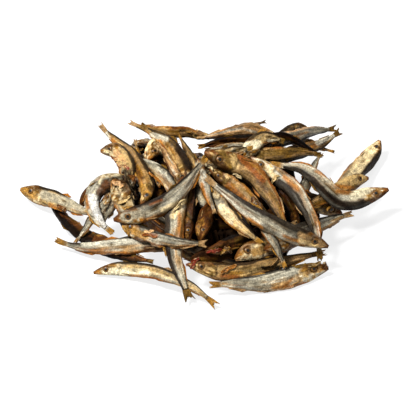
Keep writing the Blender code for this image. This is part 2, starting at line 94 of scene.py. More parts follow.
# How the sprats settle.
STATIONS = 25
CLOSENESS = 0.88
PASSES = 120
PUSH = 0.55
DRAW = 1.5
PULL = 0.007
TOUCH = 0.0015
FIRM_SHARE = 0.75
LEAST_NEED = 0.0007
# How much of each bend a pass leaves: height, slope, one arch, an S and so on.
BENDS = (1.0, 1.0, 0.97, 0.90, 0.80, 0.60)
GROUND_GAP = 0.0004

# Each row: name, the side its back lies on in the photo, how far the back leans
# to the viewer and how far it twists on the way (degrees), its greatest body
# depth in mm, its colouring, and its route from snout to tail (column, row).
# Later rows lie over earlier ones.
SPRATS = (
    ("inner_back_left", "left", 0, 0, 12, "dark",
     ((174, 170), (167, 155), (160, 143), (156, 133))),
    ("inner_back_right", "left", 0, 0, 12, "dark",
     ((262, 166), (256, 151), (250, 140), (246, 131))),
    ("inner_front", "left", 0, 0, 12, "dark",
     ((262, 240), (266, 256), (268, 270), (266, 283))),
    ("inner_low_left", "down", 0, 0, 14, "dark",
     ((152, 244), (168, 239), (188, 232), (208, 226))),
    ("inner_low_middle", "up", 0, 0, 14.5, "dark",
     ((190, 260), (210, 255), (232, 250), (256, 246), (282, 244))),
    ("inner_middle", "up", 0, 0, 13.5, "dark",
     ((170, 230), (195, 225), (220, 222), (246, 222), (272, 228))),
    ("inner_left", "up", 0, 0, 13.5, "gold",
     ((124, 204), (142, 207), (165, 206), (190, 200))),
    ("inner_right", "up", 0, 0, 13.5, "dark",
     ((264, 216), (286, 209), (308, 201), (330, 194))),
    ("inner_upper", "down", 0, 0, 13.5, "dark",
     ((166, 180), (190, 173), (214, 169), (240, 167), (264, 169))),
    ("inner_upper_left", "right", 0, 0, 12.5, "dark",
     ((156, 200), (160, 186), (166, 170), (174, 156))),
    ("inner_high", "up", 0, 0, 12.5, "dark",
     ((206, 160), (230, 157), (256, 159), (282, 166))),
    ("inner_side_right", "left", 0, 0, 13, "dark",
     ((320, 240), (315, 227), (309, 213), (301, 200), (290, 189))),
    ("inner_side_left", "right", 0, 0, 13, "dark",
     ((142, 228), (132, 214), (125, 200), (121, 184))),
    ("back_spike", "up", 20, 0, 7, "pink",
     ((224, 137), (240, 131), (254, 125), (267, 121))),
    ("back_left_twist", "down", -30, 120, 12.5, "gold",
     ((216, 138), (200, 135), (185, 132), (168, 132), (152, 130), (140, 127), (128, 121))),
    ("back_right_twist", "down", 10, 120, 12, "pink",
     ((284, 141), (268, 135), (252, 130), (236, 131), (220, 134), (206, 137), (194, 138))),
    ("back_under", "up", 15, 0, 12, "dark",
     ((270, 143), (250, 142), (232, 142), (218, 143), (208, 145), (197, 147))),
    ("back_pale", "down", 0, 0, 7, "pale",
     ((266, 150), (248, 148), (232, 146), (218, 148), (204, 150))),
    ("upper_right_head", "up", 20, 0, 12.5, "gold",
     ((307, 127), (297, 129), (286, 135), (272, 144), (252, 156))),
    ("upper_right_spike", "up", 0, 0, 7, "gold",
     ((278, 141), (298, 141), (312, 144), (324, 149), (335, 152))),
    ("upper_right_one", "down", 0, 0, 12, "silver",
     ((262, 147), (278, 141), (295, 136), (312, 132), (326, 130), (338, 128))),
    ("upper_right_two", "down", 0, 0, 12.5, "gold",
     ((268, 162), (288, 155), (304, 150), (319, 145), (332, 137), (342, 130))),
    ("dark_arch", "up", 50, 0, 10, "dark",
     ((254, 152), (262, 144), (272, 138), (283, 136), (296, 141), (309, 149), (324, 157))),
    ("green_flank", "down", 0, 0, 12, "gold",
     ((242, 160), (258, 156), (275, 154), (292, 153), (306, 153), (322, 155))),
    ("torn_head", "up", 0, 0, 13.5, "cream",
     ((243, 158), (249, 150), (255, 143), (263, 138), (273, 138), (285, 142))),
    ("hanging_tail", "left", 0, 0, 10, "silver",
     ((294, 212), (301, 196), (307, 180), (313, 167), (322, 152))),
    ("right_gold", "up", 20, 0, 14.5, "gold",
     ((342, 214), (328, 208), (314, 202), (298, 196), (276, 186))),
    ("right_high_head", "right", 15, 0, 16.5, "cream",
     ((380, 140), (375, 149), (365, 162), (354, 173), (344, 184), (334, 198), (324, 210))),
    ("right_mid_head", "up", 0, 0, 13.5, "gold",
     ((369, 178), (358, 180), (346, 186), (332, 194), (314, 203), (296, 210))),
    ("right_wave", "down", 20, 0, 17, "silver",
     ((389, 189), (371, 195), (353, 200), (338, 198), (326, 187), (315, 176), (300, 168),
      (285, 166), (268, 164))),
    ("upper_mid_twist", "right", 0, 90, 9, "gold",
     ((203, 192), (194, 168), (190, 156), (184, 145), (178, 133))),
    ("spike_left", "left", 0, 0, 7, "gold",
     ((148, 196), (144, 181), (140, 165), (137, 151), (135, 138))),
    ("spike_right", "left", 0, 0, 6.5, "gold",
     ((160, 188), (154, 171), (150, 156), (152, 139))),
    ("cream_cheek", "right", 0, 0, 14.5, "cream",
     ((146, 161), (153, 151), (161, 145), (172, 154), (186, 176))),
    ("left_peeking_head", "up", 0, 0, 13, "dark",
     ((80, 207), (87, 198), (96, 191), (109, 186), (124, 186), (146, 191))),
    ("left_dark", "left", 35, 0, 14.5, "dark",
     ((116, 244), (103, 242), (88, 237), (74, 227), (59, 213), (45, 196))),
    ("low_left_end", "down", 0, 0, 10, "dark",
     ((92, 246), (106, 250), (120, 254), (136, 258), (154, 262))),
    ("left_head", "up", 0, 0, 15.5, "cream",
     ((20, 189), (36, 194), (52, 199), (66, 204), (80, 210), (97, 216))),
    ("mid_upper_pale", "up", 0, 0, 12, "silver",
     ((190, 206), (174, 189), (164, 176), (153, 166), (141, 161), (128, 163))),
    ("mid_upper_big", "right", 10, 0, 15.5, "gold",
     ((182, 190), (182, 177), (180, 163), (172, 149), (161, 138), (150, 132), (140, 124))),
    ("mid_thin", "left", 20, 0, 7.5, "pink",
     ((181, 184), (172, 166), (164, 152), (157, 141))),
    ("left_down_head", "right", 10, 0, 13, "gold",
     ((141, 205), (147, 193), (146, 180), (139, 167), (131, 155), (119, 143), (108, 134), (99, 123))),
    ("upper_left_head", "right", 0, 0, 14.5, "cream",
     ((100, 151), (115, 151), (124, 161), (127, 176), (126, 192), (131, 210))),
    ("bottom_left", "up", 0, 0, 12, "cream",
     ((93, 273), (108, 270), (126, 269), (144, 271), (160, 274), (176, 279), (191, 286),
      (205, 296), (219, 308))),
    ("low_left_long", "up", 0, 60, 15, "silver",
     ((188, 246), (168, 244), (148, 243), (130, 245), (110, 247), (90, 248), (70, 245), (53, 239))),
    ("left_flank", "left", 0, 0, 14.5, "silver",
     ((136, 176), (122, 188), (113, 200), (107, 212), (101, 226))),
    ("left_stub", "left", 0, 0, 8, "silver",
     ((112, 190), (102, 208), (92, 220), (84, 231), (74, 244))),
    ("left_white", "right", 10, 0, 15, "pale",
     ((130, 178), (110, 182), (98, 188), (92, 199), (93, 211), (101, 223), (114, 234))),
    ("cream_mass", "right", 10, 0, 17, "cream",
     ((112, 180), (119, 189), (124, 202), (130, 216), (146, 230))),
    ("mid_right_dark", "left", 30, 0, 11, "dark",
     ((300, 233), (294, 218), (288, 204), (280, 190), (270, 176), (262, 160))),
    ("white_cheek", "left", 0, 0, 12, "cream",
     ((203, 178), (208, 169), (214, 160), (230, 152), (254, 148))),
    ("mid_grey", "left", 0, 0, 10, "pale",
     ((187, 170), (193, 182), (199, 196), (207, 208), (216, 222))),
    ("deep_head_left", "right", 0, 0, 12.5, "dark",
     ((188, 243), (187, 226), (188, 212), (190, 198), (196, 170))),
    ("deep_head_right", "right", 0, 0, 12.5, "dark",
     ((200, 241), (203, 227), (208, 213), (216, 200), (232, 182))),
    ("deep_front", "up", 10, 0, 12.5, "dark",
     ((205, 252), (220, 248), (236, 242), (254, 236), (272, 230), (300, 222))),
    ("center_gold", "down", 0, 0, 12, "gold",
     ((209, 169), (224, 178), (238, 188), (250, 200), (260, 210), (275, 224))),
    ("center_dark", "up", 50, 0, 11, "dark",
     ((214, 186), (226, 198), (237, 212), (246, 226), (258, 238), (270, 250))),
    ("front_head", "up", 0, 0, 16.5, "cream",
     ((235, 260), (248, 252), (266, 248), (284, 243), (302, 236), (322, 224))),
    ("center_pale", "right", 0, 40, 13.5, "cream",
     ((206, 176), (214, 192), (224, 208), (236, 223), (250, 234), (263, 245))),
    ("center_thin", "right", 0, 0, 9, "silver",
     ((197, 158), (203, 180), (207, 192), (212, 204), (215, 215))),
    ("right_tail", "up", 10, 0, 15.5, "silver",
     ((264, 250), (284, 241), (298, 234), (312, 228), (326, 222), (340, 217), (354, 213))),
    ("front_mid", "up", 0, 0, 14.5, "gold",
     ((187, 264), (203, 268), (222, 272), (242, 271), (262, 267), (284, 262), (306, 256), (328, 252))),
    ("front_right", "up", 0, 0, 16.5, "silver",
     ((329, 268), (314, 270), (299, 275), (284, 280), (268, 283), (250, 284), (230, 284), (208, 285))),
    ("right_curve", "left", 20, 0, 14.5, "silver",
     ((250, 157), (263, 166), (278, 177), (292, 188), (303, 202), (311, 217), (316, 233),
      (319, 248), (320, 262))),
    ("front_tail_down", "right", 0, 0, 10, "silver",
     ((252, 196), (262, 218), (269, 233), (275, 245), (281, 257), (286, 269))),
    ("center_vertical", "left", 10, 0, 16.5, "silver",
     ((184, 176), (178, 200), (175, 220), (174, 240), (176, 262), (183, 283), (191, 303))),
    ("crossing_low", "up", 0, 0, 12.5, "silver",
     ((120, 222), (136, 231), (152, 237), (170, 242), (188, 243), (209, 244))),
    ("main_left", "up", 15, 0, 16.5, "silver",
     ((113, 220), (127, 217), (145, 213), (162, 206), (176, 196), (189, 182), (200, 166), (209, 153))),
    ("main_right", "down", 10, 0, 18, "gold",
     ((204, 151), (221, 159), (242, 167), (259, 180), (270, 196), (279, 213), (289, 234))),
    ("main_diagonal", "up", 15, 0, 16, "silver",
     ((329, 247), (316, 242), (300, 237), (280, 229), (262, 220), (245, 209), (230, 197),
      (216, 186), (203, 175))),
)

# The heap's hidden side, laid out the same way as it would look from behind.
SPRATS_BEHIND = (
    ("behind_flank_left", "left", 0, 0, 13, "pale",
     ((122, 196), (113, 184), (107, 172), (104, 158))),
    ("behind_flank_right", "right", 0, 0, 13, "gold",
     ((294, 240), (295, 218), (290, 198), (282, 180), (276, 166))),
    ("behind_crest_left", "down", 0, 0, 12.5, "gold",
     ((168, 170), (154, 182), (142, 195), (131, 214))),
    ("behind_crest_middle", "up", 0, 0, 12.5, "dark",
     ((204, 192), (188, 184), (170, 180), (150, 178), (130, 184))),
    ("behind_crest_right", "right", 0, 0, 12.5, "dark",
     ((240, 218), (244, 200), (252, 184), (264, 170))),
    ("behind_side_right", "left", 0, 0, 13, "silver",
     ((258, 176), (266, 192), (275, 210), (283, 228), (288, 246))),
    ("behind_ridge_left", "up", 0, 0, 13, "gold",
     ((130, 222), (148, 210), (168, 203), (188, 203), (208, 210))),
    ("behind_ridge_right", "up", 10, 0, 13, "dark",
     ((296, 226), (280, 216), (262, 211), (246, 213), (232, 222))),
    ("behind_valley_left", "left", 0, 0, 12, "silver",
     ((204, 250), (209, 236), (213, 220), (215, 204), (214, 190))),
    ("behind_valley_right", "right", 0, 0, 12, "gold",
     ((230, 196), (228, 210), (227, 224), (228, 238), (232, 252))),
    ("behind_upper_left", "up", 0, 0, 13.5, "pale",
     ((128, 238), (148, 230), (168, 224), (186, 217), (202, 205))),
    ("behind_upper_right", "down", 0, 30, 13.5, "gold",
     ((298, 242), (284, 234), (268, 229), (252, 224), (240, 214))),
    ("behind_valley_middle", "left", 0, 0, 12, "dark",
     ((220, 254), (220, 240), (221, 226), (220, 212), (222, 198))),
    ("behind_foot_left", "up", 0, 0, 13.5, "silver",
     ((130, 244), (144, 254), (162, 259), (182, 258), (202, 250))),
    ("behind_foot_right", "up", 0, 0, 14.5, "gold",
     ((298, 246), (286, 255), (270, 260), (254, 258), (238, 250))),
    ("behind_slope_left", "right", 10, 0, 13.5, "dark",
     ((134, 260), (140, 245), (151, 228), (164, 212), (180, 196))),
    ("behind_low_right", "right", 0, 0, 12.5, "silver",
     ((250, 262), (250, 246), (256, 228), (266, 210), (278, 194))),
    ("behind_foot_middle", "down", 0, 40, 13.5, "pale",
     ((140, 258), (158, 265), (176, 266), (196, 260))),
    ("behind_slope_right", "left", 15, 0, 13.5, "silver",
     ((290, 260), (279, 246), (266, 234), (252, 222), (238, 208))),
    ("behind_high", "down", 0, 0, 12.5, "silver",
     ((210, 238), (192, 234), (174, 226), (157, 214), (144, 198))),
    ("behind_crossing", "up", 0, 0, 12.5, "gold",
     ((130, 250), (148, 247), (168, 244), (188, 240), (206, 228))),
)


class View:
    """A camera that looks down on the heap's middle, from the front or from behind."""

    def __init__(self, azimuth):
        turn, tilt = radians(azimuth), radians(VIEW_ELEVATION)
        self.forward = np.array([sin(turn) * cos(tilt), cos(turn) * cos(tilt), -sin(tilt)])
        self.right = np.array([cos(turn), -sin(turn), 0.0])
        self.up = np.cross(self.right, self.forward)
        self.eye = np.array([*AIM, 0.0]) - self.forward * VIEW_DISTANCE

    def rays(self, pixels):
        """The lines of sight through pixels, each as long as one metre of the camera's axis."""
        across = (pixels[..., 0] - PHOTO_MIDDLE) * PIXEL / VIEW_DISTANCE
        above = (PHOTO_MIDDLE - pixels[..., 1]) * PIXEL / VIEW_DISTANCE
        return self.forward + across[..., None] * self.right + above[..., None] * self.up

    def depth_at_height(self, pixels, height):
        """How far along the lines of sight they come down to a height."""
        return (height - self.eye[2]) / self.rays(pixels)[..., 2]

    def points(self, pixels, depth):
        """The places in space that pixels show at a depth."""
        return self.eye + self.rays(pixels) * depth[..., None]

    def pixels_of(self, points):
        """The pixels that show places in space."""
        away = points - self.eye
        scale = VIEW_DISTANCE / PIXEL / (away @ self.forward)
        columns, rows = (away @ self.right) * scale, (away @ self.up) * scale
        return np.stack([PHOTO_MIDDLE + columns, PHOTO_MIDDLE - rows], axis=-1)


def front_surface(pixels):
    """The height of the heap's surface at a pixel of the photo."""
    sideways = (pixels[..., 0] - TOP_COLUMN) / REACH_COLUMNS
    forward = np.clip((pixels[..., 1] - TOP_ROW) / REACH_ROWS_FRONT, 0, None)
    backward = np.clip((TOP_ROW - pixels[..., 1]) / REACH_ROWS_BACK, 0, 1.3)
    dome = np.clip(1 - sideways**2 - forward**2, 0, None) ** PEAKEDNESS
    return HEAP_HEIGHT * dome * (1 - BACK_FALL * backward**2)


def rear_surface(pixels):
    """The height of the heap's surface at a pixel of the view from behind."""
    down = (pixels[..., 1] - BEHIND_TOP_ROW) / (BEHIND_FOOT_ROW - BEHIND_TOP_ROW)
    sideways = (pixels[..., 0] - PHOTO_MIDDLE) / BEHIND_REACH_COLUMNS
    dip = np.exp(-(((pixels[..., 0] - BEHIND_DIP_COLUMN) / BEHIND_DIP_REACH) ** 2))
    return BEHIND_HEIGHT * (1 - down) - BEHIND_SIDE_FALL * sideways**2 - BEHIND_DIP * dip


# Steps from one corner of a route to the next.
CURVE_STEPS = 24


def smooth_route(corners, count):
    """Evenly spaced points on a smooth curve through the corners."""
    corners = np.asarray(corners, float)
    ends = 2 * corners[0] - corners[1], 2 * corners[-1] - corners[-2]
    p = np.vstack([ends[0], corners, ends[1]])
    t = np.linspace(0, 1, CURVE_STEPS, endpoint=False)[:, None]
    pieces = []
    for a, b, c, d in zip(p, p[1:], p[2:], p[3:]):
        cubic = (3 * b - a - 3 * c + d) * t**3
        square = (2 * a - 5 * b + 4 * c - d) * t**2
        pieces.append(0.5 * (2 * b + (c - a) * t + square + cubic))
    curve = np.vstack([*pieces, corners[-1:]])
    steps = np.linalg.norm(np.diff(curve, axis=0), axis=1)
    run = np.concatenate([[0], np.cumsum(steps)])
    at = np.linspace(0, run[-1], count)
    return np.stack([np.interp(at, run, curve[:, k]) for k in (0, 1)], axis=1)


ALONG = np.linspace(0, 1, STATIONS)
DEPTH_ALONG = np.interp(ALONG, ALONG_DEPTH, DEPTHS)
THICKNESS_ALONG = np.interp(ALONG, ALONG_THICKNESS, THICKNESSES) * THICKNESS_SHARE


class Sprat:
    """One sprat: its route in the photo, how much room it takes there, and its colouring."""

    def __init__(self, name, back, roll, twist, depth_mm, tone, corners):
        self.name = name
        self.tone = tone
        self.depth = depth_mm / 1000
        self.back = {"up": (0, 1), "down": (0, -1), "left": (-1, 0), "right": (1, 0)}[back]
        self.pixels = smooth_route(corners, STATIONS)
        self.turn = np.radians(roll + twist * (ALONG - 0.5))
        self.half_depth = DEPTH_ALONG * depth_mm / 2000
        self.half_thickness = THICKNESS_ALONG * depth_mm / 2000
        flat, upright = np.cos(self.turn), np.sin(self.turn)
        self.across = np.hypot(self.half_depth * flat, self.half_thickness * upright)
        self.toward = np.hypot(self.half_depth * upright, self.half_thickness * flat)


def contacts(sprats):
    """Every place where a sprat crosses an earlier one, and the room both need there."""
    upper, lower, room, firm = [], [], [], []
    for a, over in enumerate(sprats):
        for b, under in enumerate(sprats[:a]):
            apart = np.linalg.norm(over.pixels[:, None] - under.pixels[None], axis=2)
            reach = (over.across[:, None] + under.across[None]) / PIXEL
            share = np.sqrt(np.clip(1 - (apart / reach) ** 2, 0, 1))
            need = (over.toward[:, None] + under.toward[None]) * share
            i, j = np.nonzero(need > LEAST_NEED)
            upper.append(a * STATIONS + i)
            lower.append(b * STATIONS + j)
            room.append(need[i, j] * CLOSENESS)
            firm.append(share[i, j] > FIRM_SHARE)
    return [np.concatenate(part) for part in (upper, lower, room, firm)]


def settle(sprats, view, surface):
    """Gives each sprat its spine, on the heap's surface but clear of those it crosses."""
    pixels = np.array([sprat.pixels for sprat in sprats])
    across = np.array([sprat.across for sprat in sprats])
    toward = np.array([sprat.toward for sprat in sprats])
    tilt = radians(VIEW_ELEVATION)
    lowest = np.hypot(across * cos(tilt), toward * sin(tilt)) + GROUND_GAP
    floor = view.depth_at_height(pixels, lowest)
    first = view.depth_at_height(pixels, surface(pixels))
    waves = np.cos(pi * np.outer(ALONG, np.arange(len(BENDS))))
    smooth = (waves * BENDS @ np.linalg.pinv(waves)).T
    upper, lower, room, firm = contacts(sprats)
    depth = np.minimum(first, floor)
    for _ in range(PASSES):
        flat = depth.ravel()
        gap = flat[lower] - flat[upper] - room
        short = np.clip(-gap, 0, None)
        nearer, farther = np.zeros(flat.shape), np.zeros(flat.shape)
        np.maximum.at(nearer, upper, short)
        np.maximum.at(farther, lower, short)
        push = (farther - nearer) * PUSH
        # A sprat that touches no other is drawn to the one it comes closest to.
        closest = np.full(len(sprats), np.inf)
        np.minimum.at(closest, upper[firm] // STATIONS, gap[firm])
        np.minimum.at(closest, lower[firm] // STATIONS, gap[firm])
        nearest = np.maximum(closest[upper // STATIONS], closest[lower // STATIONS])
        loose = firm & (gap <= nearest) & (gap > -TOUCH)
        draw = (gap[loose] + TOUCH) * DRAW
        np.add.at(push, upper[loose], draw)
        np.add.at(push, lower[loose], -draw)
        depth = (depth + push.reshape(depth.shape) + (first - depth) * PULL) @ smooth
        depth = np.minimum(depth, floor)
    for sprat, at in zip(sprats, depth):
        sprat.spine = view.points(sprat.pixels, at)
        steer(sprat, view)


def steer(sprat, view):
    """Works out which way the sprat's back and its flank face along the spine."""
    ahead = unit(np.gradient(sprat.spine, axis=0))
    to_eye = unit(view.eye - sprat.spine)
    aside = unit(np.cross(ahead, to_eye))
    shown = aside[STATIONS // 3] @ np.array([view.right, view.up]).T
    if shown @ np.array(sprat.back) < 0:
        aside = -aside
    facing = np.cross(aside, ahead)
    facing *= np.sign((facing * to_eye).sum(axis=1))[:, None]
    turn = sprat.turn[:, None]
    sprat.dorsal = np.cos(turn) * aside + np.sin(turn) * facing
    sprat.flank = np.cross(ahead, sprat.dorsal)
    sprat.shown = -1 if (sprat.flank * to_eye).sum() < 0 else 1


def unit(vectors):
    """The vectors, each drawn to a length of one."""
    return vectors / np.linalg.norm(vectors, axis=-1, keepdims=True)


FRONT, REAR = View(0), View(180)

# Marks on single sprats: the paint, how wide in pixels, and from where to where in the photo.
STROKES = (
    ("main_left", "silver", 8, (124, 217), (140, 214)),
    ("main_left", "ink", 4, (128, 208), (160, 199)),
    ("main_left", "ink", 3, (160, 199), (196, 163)),
    ("main_left", "amber", 4, (142, 221), (162, 216)),
    ("main_left", "cream", 5, (163, 210), (178, 203)),
    ("main_left", "rust", 2, (150, 205), (162, 200)),
    ("main_right", "rust", 6, (240, 157), (263, 180)),
    ("main_right", "olive", 7, (222, 153), (232, 166)),
    ("main_right", "straw", 7, (234, 160), (236, 166)),
    ("right_curve", "ink", 7, (282, 192), (302, 222)),
    ("right_curve", "amber", 4, (284, 177), (298, 190)),
    ("right_curve", "cream", 6, (268, 170), (275, 177)),
    ("main_diagonal", "amber", 3, (284, 236), (298, 241)),
    ("main_diagonal", "amber", 3, (249, 219), (262, 228)),
    ("main_diagonal", "ink", 3, (246, 203), (275, 219)),
    ("main_diagonal", "tan", 6, (300, 235), (322, 245)),
    ("main_diagonal", "straw", 4, (300, 240), (316, 246)),
    ("right_wave", "ink", 5, (312, 182), (356, 214)),
    ("right_wave", "amber", 3, (337, 191), (352, 193)),
    ("right_wave", "ivory", 9, (354, 196), (366, 190)),
    ("right_wave", "umber", 4, (381, 197), (389, 190)),
    ("right_wave", "amber", 3, (316, 171), (326, 176)),
    ("right_high_head", "cream", 10, (374, 146), (352, 176)),
    ("right_high_head", "ink", 5, (381, 152), (366, 171)),
    ("right_mid_head", "straw", 9, (338, 180), (362, 179)),
    ("right_mid_head", "amber", 4, (336, 186), (352, 188)),
    ("center_vertical", "amber", 4, (179, 214), (180, 236)),
    ("center_vertical", "lemon", 6, (183, 200), (173, 216)),
    ("center_vertical", "ink", 4, (166, 246), (176, 276)),
    ("crossing_low", "gold", 7, (126, 229), (146, 236)),
    ("crossing_low", "rust", 4, (147, 234), (156, 236)),
    ("front_right", "amber", 3, (284, 287), (292, 279)),
    ("front_right", "peach", 3, (216, 288), (244, 290)),
    ("front_mid", "rust", 4, (222, 276), (238, 277)),
    ("front_mid", "rust", 4, (274, 272), (288, 268)),
    ("front_head", "gold", 8, (255, 252), (268, 249)),
    ("low_left_long", "umber", 6, (146, 249), (164, 247)),
    ("low_left_long", "pearl", 6, (84, 244), (160, 240)),
    ("low_left_long", "amber", 3, (90, 252), (126, 253)),
    ("left_head", "gold", 8, (24, 191), (34, 196)),
    ("left_head", "silver", 9, (44, 195), (82, 207)),
    ("left_head", "amber", 4, (50, 205), (66, 213)),
    ("left_white", "night", 12, (128, 180), (106, 184)),
    ("left_white", "umber", 8, (106, 184), (100, 192)),
    ("left_white", "frost", 9, (92, 198), (98, 216)),
    ("left_white", "frost", 6, (98, 216), (110, 231)),
    ("left_white", "ink", 4, (101, 194), (107, 216)),
    ("left_white", "amber", 3, (86, 196), (88, 208)),
    ("left_dark", "amber", 4, (74, 216), (84, 226)),
    ("upper_left_head", "night", 9, (127, 172), (127, 192)),
    ("upper_left_head", "night", 9, (127, 192), (131, 208)),
    ("upper_left_head", "peach", 6, (116, 152), (124, 164)),
    ("mid_upper_big", "pearl", 5, (152, 135), (166, 139)),
    ("mid_upper_big", "ink", 5, (178, 146), (188, 172)),
    ("mid_upper_big", "amber", 4, (160, 141), (170, 166)),
    ("mid_upper_big", "rust", 3, (163, 146), (167, 158)),
    ("left_down_head", "pearl", 7, (100, 124), (108, 142)),
    ("left_down_head", "amber", 4, (112, 140), (122, 150)),
    ("left_down_head", "umber", 4, (124, 148), (142, 178)),
    ("left_down_head", "gold", 8, (142, 188), (150, 198)),
    ("mid_upper_pale", "pearl", 6, (144, 158), (162, 162)),
    ("mid_upper_pale", "lemon", 3, (152, 172), (164, 186)),
    ("center_gold", "amber", 6, (228, 186), (244, 200)),
    ("center_pale", "cream", 9, (222, 208), (230, 218)),
    ("center_pale", "amber", 3, (214, 214), (248, 238)),
    ("center_thin", "amber", 3, (202, 184), (208, 206)),
    ("torn_head", "ivory", 9, (242, 148), (257, 144)),
    ("torn_head", "peach", 3, (243, 158), (251, 158)),
    ("torn_head", "night", 3, (246, 151), (248, 153)),
    ("green_flank", "olive", 7, (260, 154), (300, 150)),
    # The pearl strokes on the two upper right sprats give their tails' silver and also brighten them as
    # painted light.
    ("upper_right_one", "peach", 5, (288, 130), (312, 125)),
    ("upper_right_one", "pearl", 5, (316, 124), (334, 127)),
    ("upper_right_two", "amber", 4, (306, 150), (318, 144)),
    ("upper_right_two", "pearl", 5, (318, 143), (336, 133)),
    ("bottom_left", "ivory", 8, (106, 272), (146, 273)),
    ("bottom_left", "amber", 4, (130, 276), (146, 277)),
)


# How finely the sprats are built: rings of the head and of the rest, and sides.
FINE = (36, 54, 46)
MIDDLING = (20, 32, 24)
COARSE = (10, 20, 18)
BODY_END = 0.885
SNOUT_START = 0.004

# The head's length by the greatest depth and by the whole length, and the eye in it.
HEAD_BY_DEPTH = 1.6
HEAD_BY_LENGTH = 0.205
HEAD_AT_MOST = 0.42
EYE_ALONG = 0.49
EYE_UP = 0.16
EYE_RADIUS = 0.105

# Sprats that dried crumpled or torn open more than the others, from 0 to 1.
CRUMPLED = {
    "cream_mass": 1.0, "upper_left_head": 0.9, "torn_head": 0.4, "cream_cheek": 0.6,
    "white_cheek": 0.5, "center_gold": 0.5, "deep_front": 0.8, "deep_head_right": 0.5,
    "left_peeking_head": 0.5, "right_gold": 0.5,
}
TORN = {
    "main_left": 0.5, "crossing_low": 0.9, "front_mid": 0.7, "left_head": 0.8, "low_left_long": 0.4,
    "center_gold": 0.5, "cream_mass": 0.8, "upper_left_head": 0.8, "right_gold": 0.6, "deep_front": 0.8,
}

# Sprats whose dark back reaches far down the flank: where it starts, from belly -1 to back 1.
DARK_BACKS = {
    "right_curve": 0.22, "right_wave": 0.25, "main_diagonal": 0.52, "right_high_head": 0.30,
    "main_left": 0.74, "front_mid": 0.66, "right_tail": 0.60, "front_right": 0.80,
    "center_dark": 0.15, "mid_upper_big": 0.40, "center_vertical": 0.50, "left_dark": 0.10,
}

# Paints, as red, green and blue of 255, and how bright the light on the heap is in them.
PAINTS = {
    "black": (12, 8, 5), "ink": (31, 20, 11), "steel": (120, 118, 106),
    "silver": (170, 160, 134), "pearl": (204, 196, 172), "tan": (164, 128, 80), "straw": (196, 162, 102),
    "cream": (226, 202, 152), "ivory": (242, 228, 188), "gold": (160, 114, 40), "olive": (106, 78, 26),
    "amber": (162, 99, 24), "rust": (128, 66, 16), "umber": (80, 44, 14), "peach": (196, 150, 98),
    "frost": (226, 222, 212), "blood": (112, 34, 18), "night": (22, 13, 6), "lemon": (238, 210, 150),
    "earth": (104, 60, 20),
}
LIT = 1.35
# Painted shade: how much darker the buried sprats are made, for lying in the heap's shadow.
BURIED_SHADE = 0.45

# Each colouring: back, the band under it, flank, flank's patches, flank's lights,
# belly, belly's streaks, head, cheek and snout.
TONES = {
    "silver": ("ink", "steel", "silver", "tan", "pearl", "amber", "rust", "gold", "straw", "rust"),
    "gold": ("ink", "olive", "tan", "gold", "straw", "amber", "rust", "olive", "straw", "rust"),
    "cream": ("ink", "tan", "straw", "silver", "cream", "amber", "rust", "gold", "cream", "amber"),
    "dark": ("black", "night", "umber", "olive", "earth", "earth", "rust", "umber", "gold", "umber"),
    "pale": ("ink", "steel", "pearl", "silver", "ivory", "straw", "amber", "straw", "cream", "gold"),
    "pink": ("umber", "tan", "peach", "tan", "pearl", "peach", "amber", "gold", "cream", "amber"),
}


def paint(name):
    """A paint in linear light, as dark as the surface itself is."""
    shade = np.array(PAINTS[name]) / 255
    return np.where(shade > 0.04045, ((shade + 0.055) / 1.055) ** 2.4, shade / 12.92) / LIT


def rise(low, high, value):
    """From 0 at low to 1 at high, smoothly; low may be the larger."""
    t = np.clip((value - low) / (high - low), 0, 1)
    return t * t * (3 - 2 * t)


def bump(middle, width, value):
    """One at the middle, falling to both sides."""
    return np.exp(-(((value - middle) / width) ** 2))


def over(under, upper, share):
    """A share of the upper colour laid over the one under it."""
    share = np.asarray(share)[..., None]
    return under * (1 - share) + upper * share


def patches(rng, rows, columns, s, g):
    """Smooth random patches from -1 to 1, so many along the body and across it."""
    knots = rng.uniform(-1, 1, (rows + 2, columns + 2))
    down, across = np.broadcast_arrays(s * rows, (g + 1) / 2 * columns)
    i, j = np.floor(down).astype(int), np.floor(across).astype(int)
    i, j = np.clip(i, 0, rows), np.clip(j, 0, columns)
    p, q = rise(0, 1, down - i), rise(0, 1, across - j)
    near = knots[i, j] * (1 - q) + knots[i, j + 1] * q
    far = knots[i + 1, j] * (1 - q) + knots[i + 1, j + 1] * q
    return near * (1 - p) + far * p


def by_side(rng, rows, columns, s, g, side):
    """Patches that differ on the two flanks."""
    left, right = patches(rng, rows, columns, s, g), patches(rng, rows, columns, s, g)
    return np.where(side < 0, left, right)


def between(values, s):
    """Values known at the stations, read smoothly at s."""
    t = np.clip(s * (STATIONS - 1), 0, STATIONS - 1 - 1e-9)
    i = np.floor(t).astype(int)
    u = (t - i)[..., None]
    slope = np.gradient(values, axis=0)
    start = values[i] * (2 * u**3 - 3 * u**2 + 1) + slope[i] * (u**3 - 2 * u**2 + u)
    end = values[i + 1] * (3 * u**2 - 2 * u**3) + slope[i + 1] * (u**3 - u**2)
    return start + end


# A profile's steps, and over how many of them its corners are rounded.
PROFILE_STEPS, SOFT_STEPS = 401, 25


def rounded(xs, ys, s):
    """A profile given by a few points, without their corners."""
    fine = np.linspace(0, 1, PROFILE_STEPS)
    values = np.pad(np.interp(fine, xs, ys), SOFT_STEPS // 2, mode="edge")
    window = np.hanning(SOFT_STEPS + 2)[1:-1] / (SOFT_STEPS // 2 + 1)
    return np.interp(s, fine, np.convolve(values, window, mode="valid"))


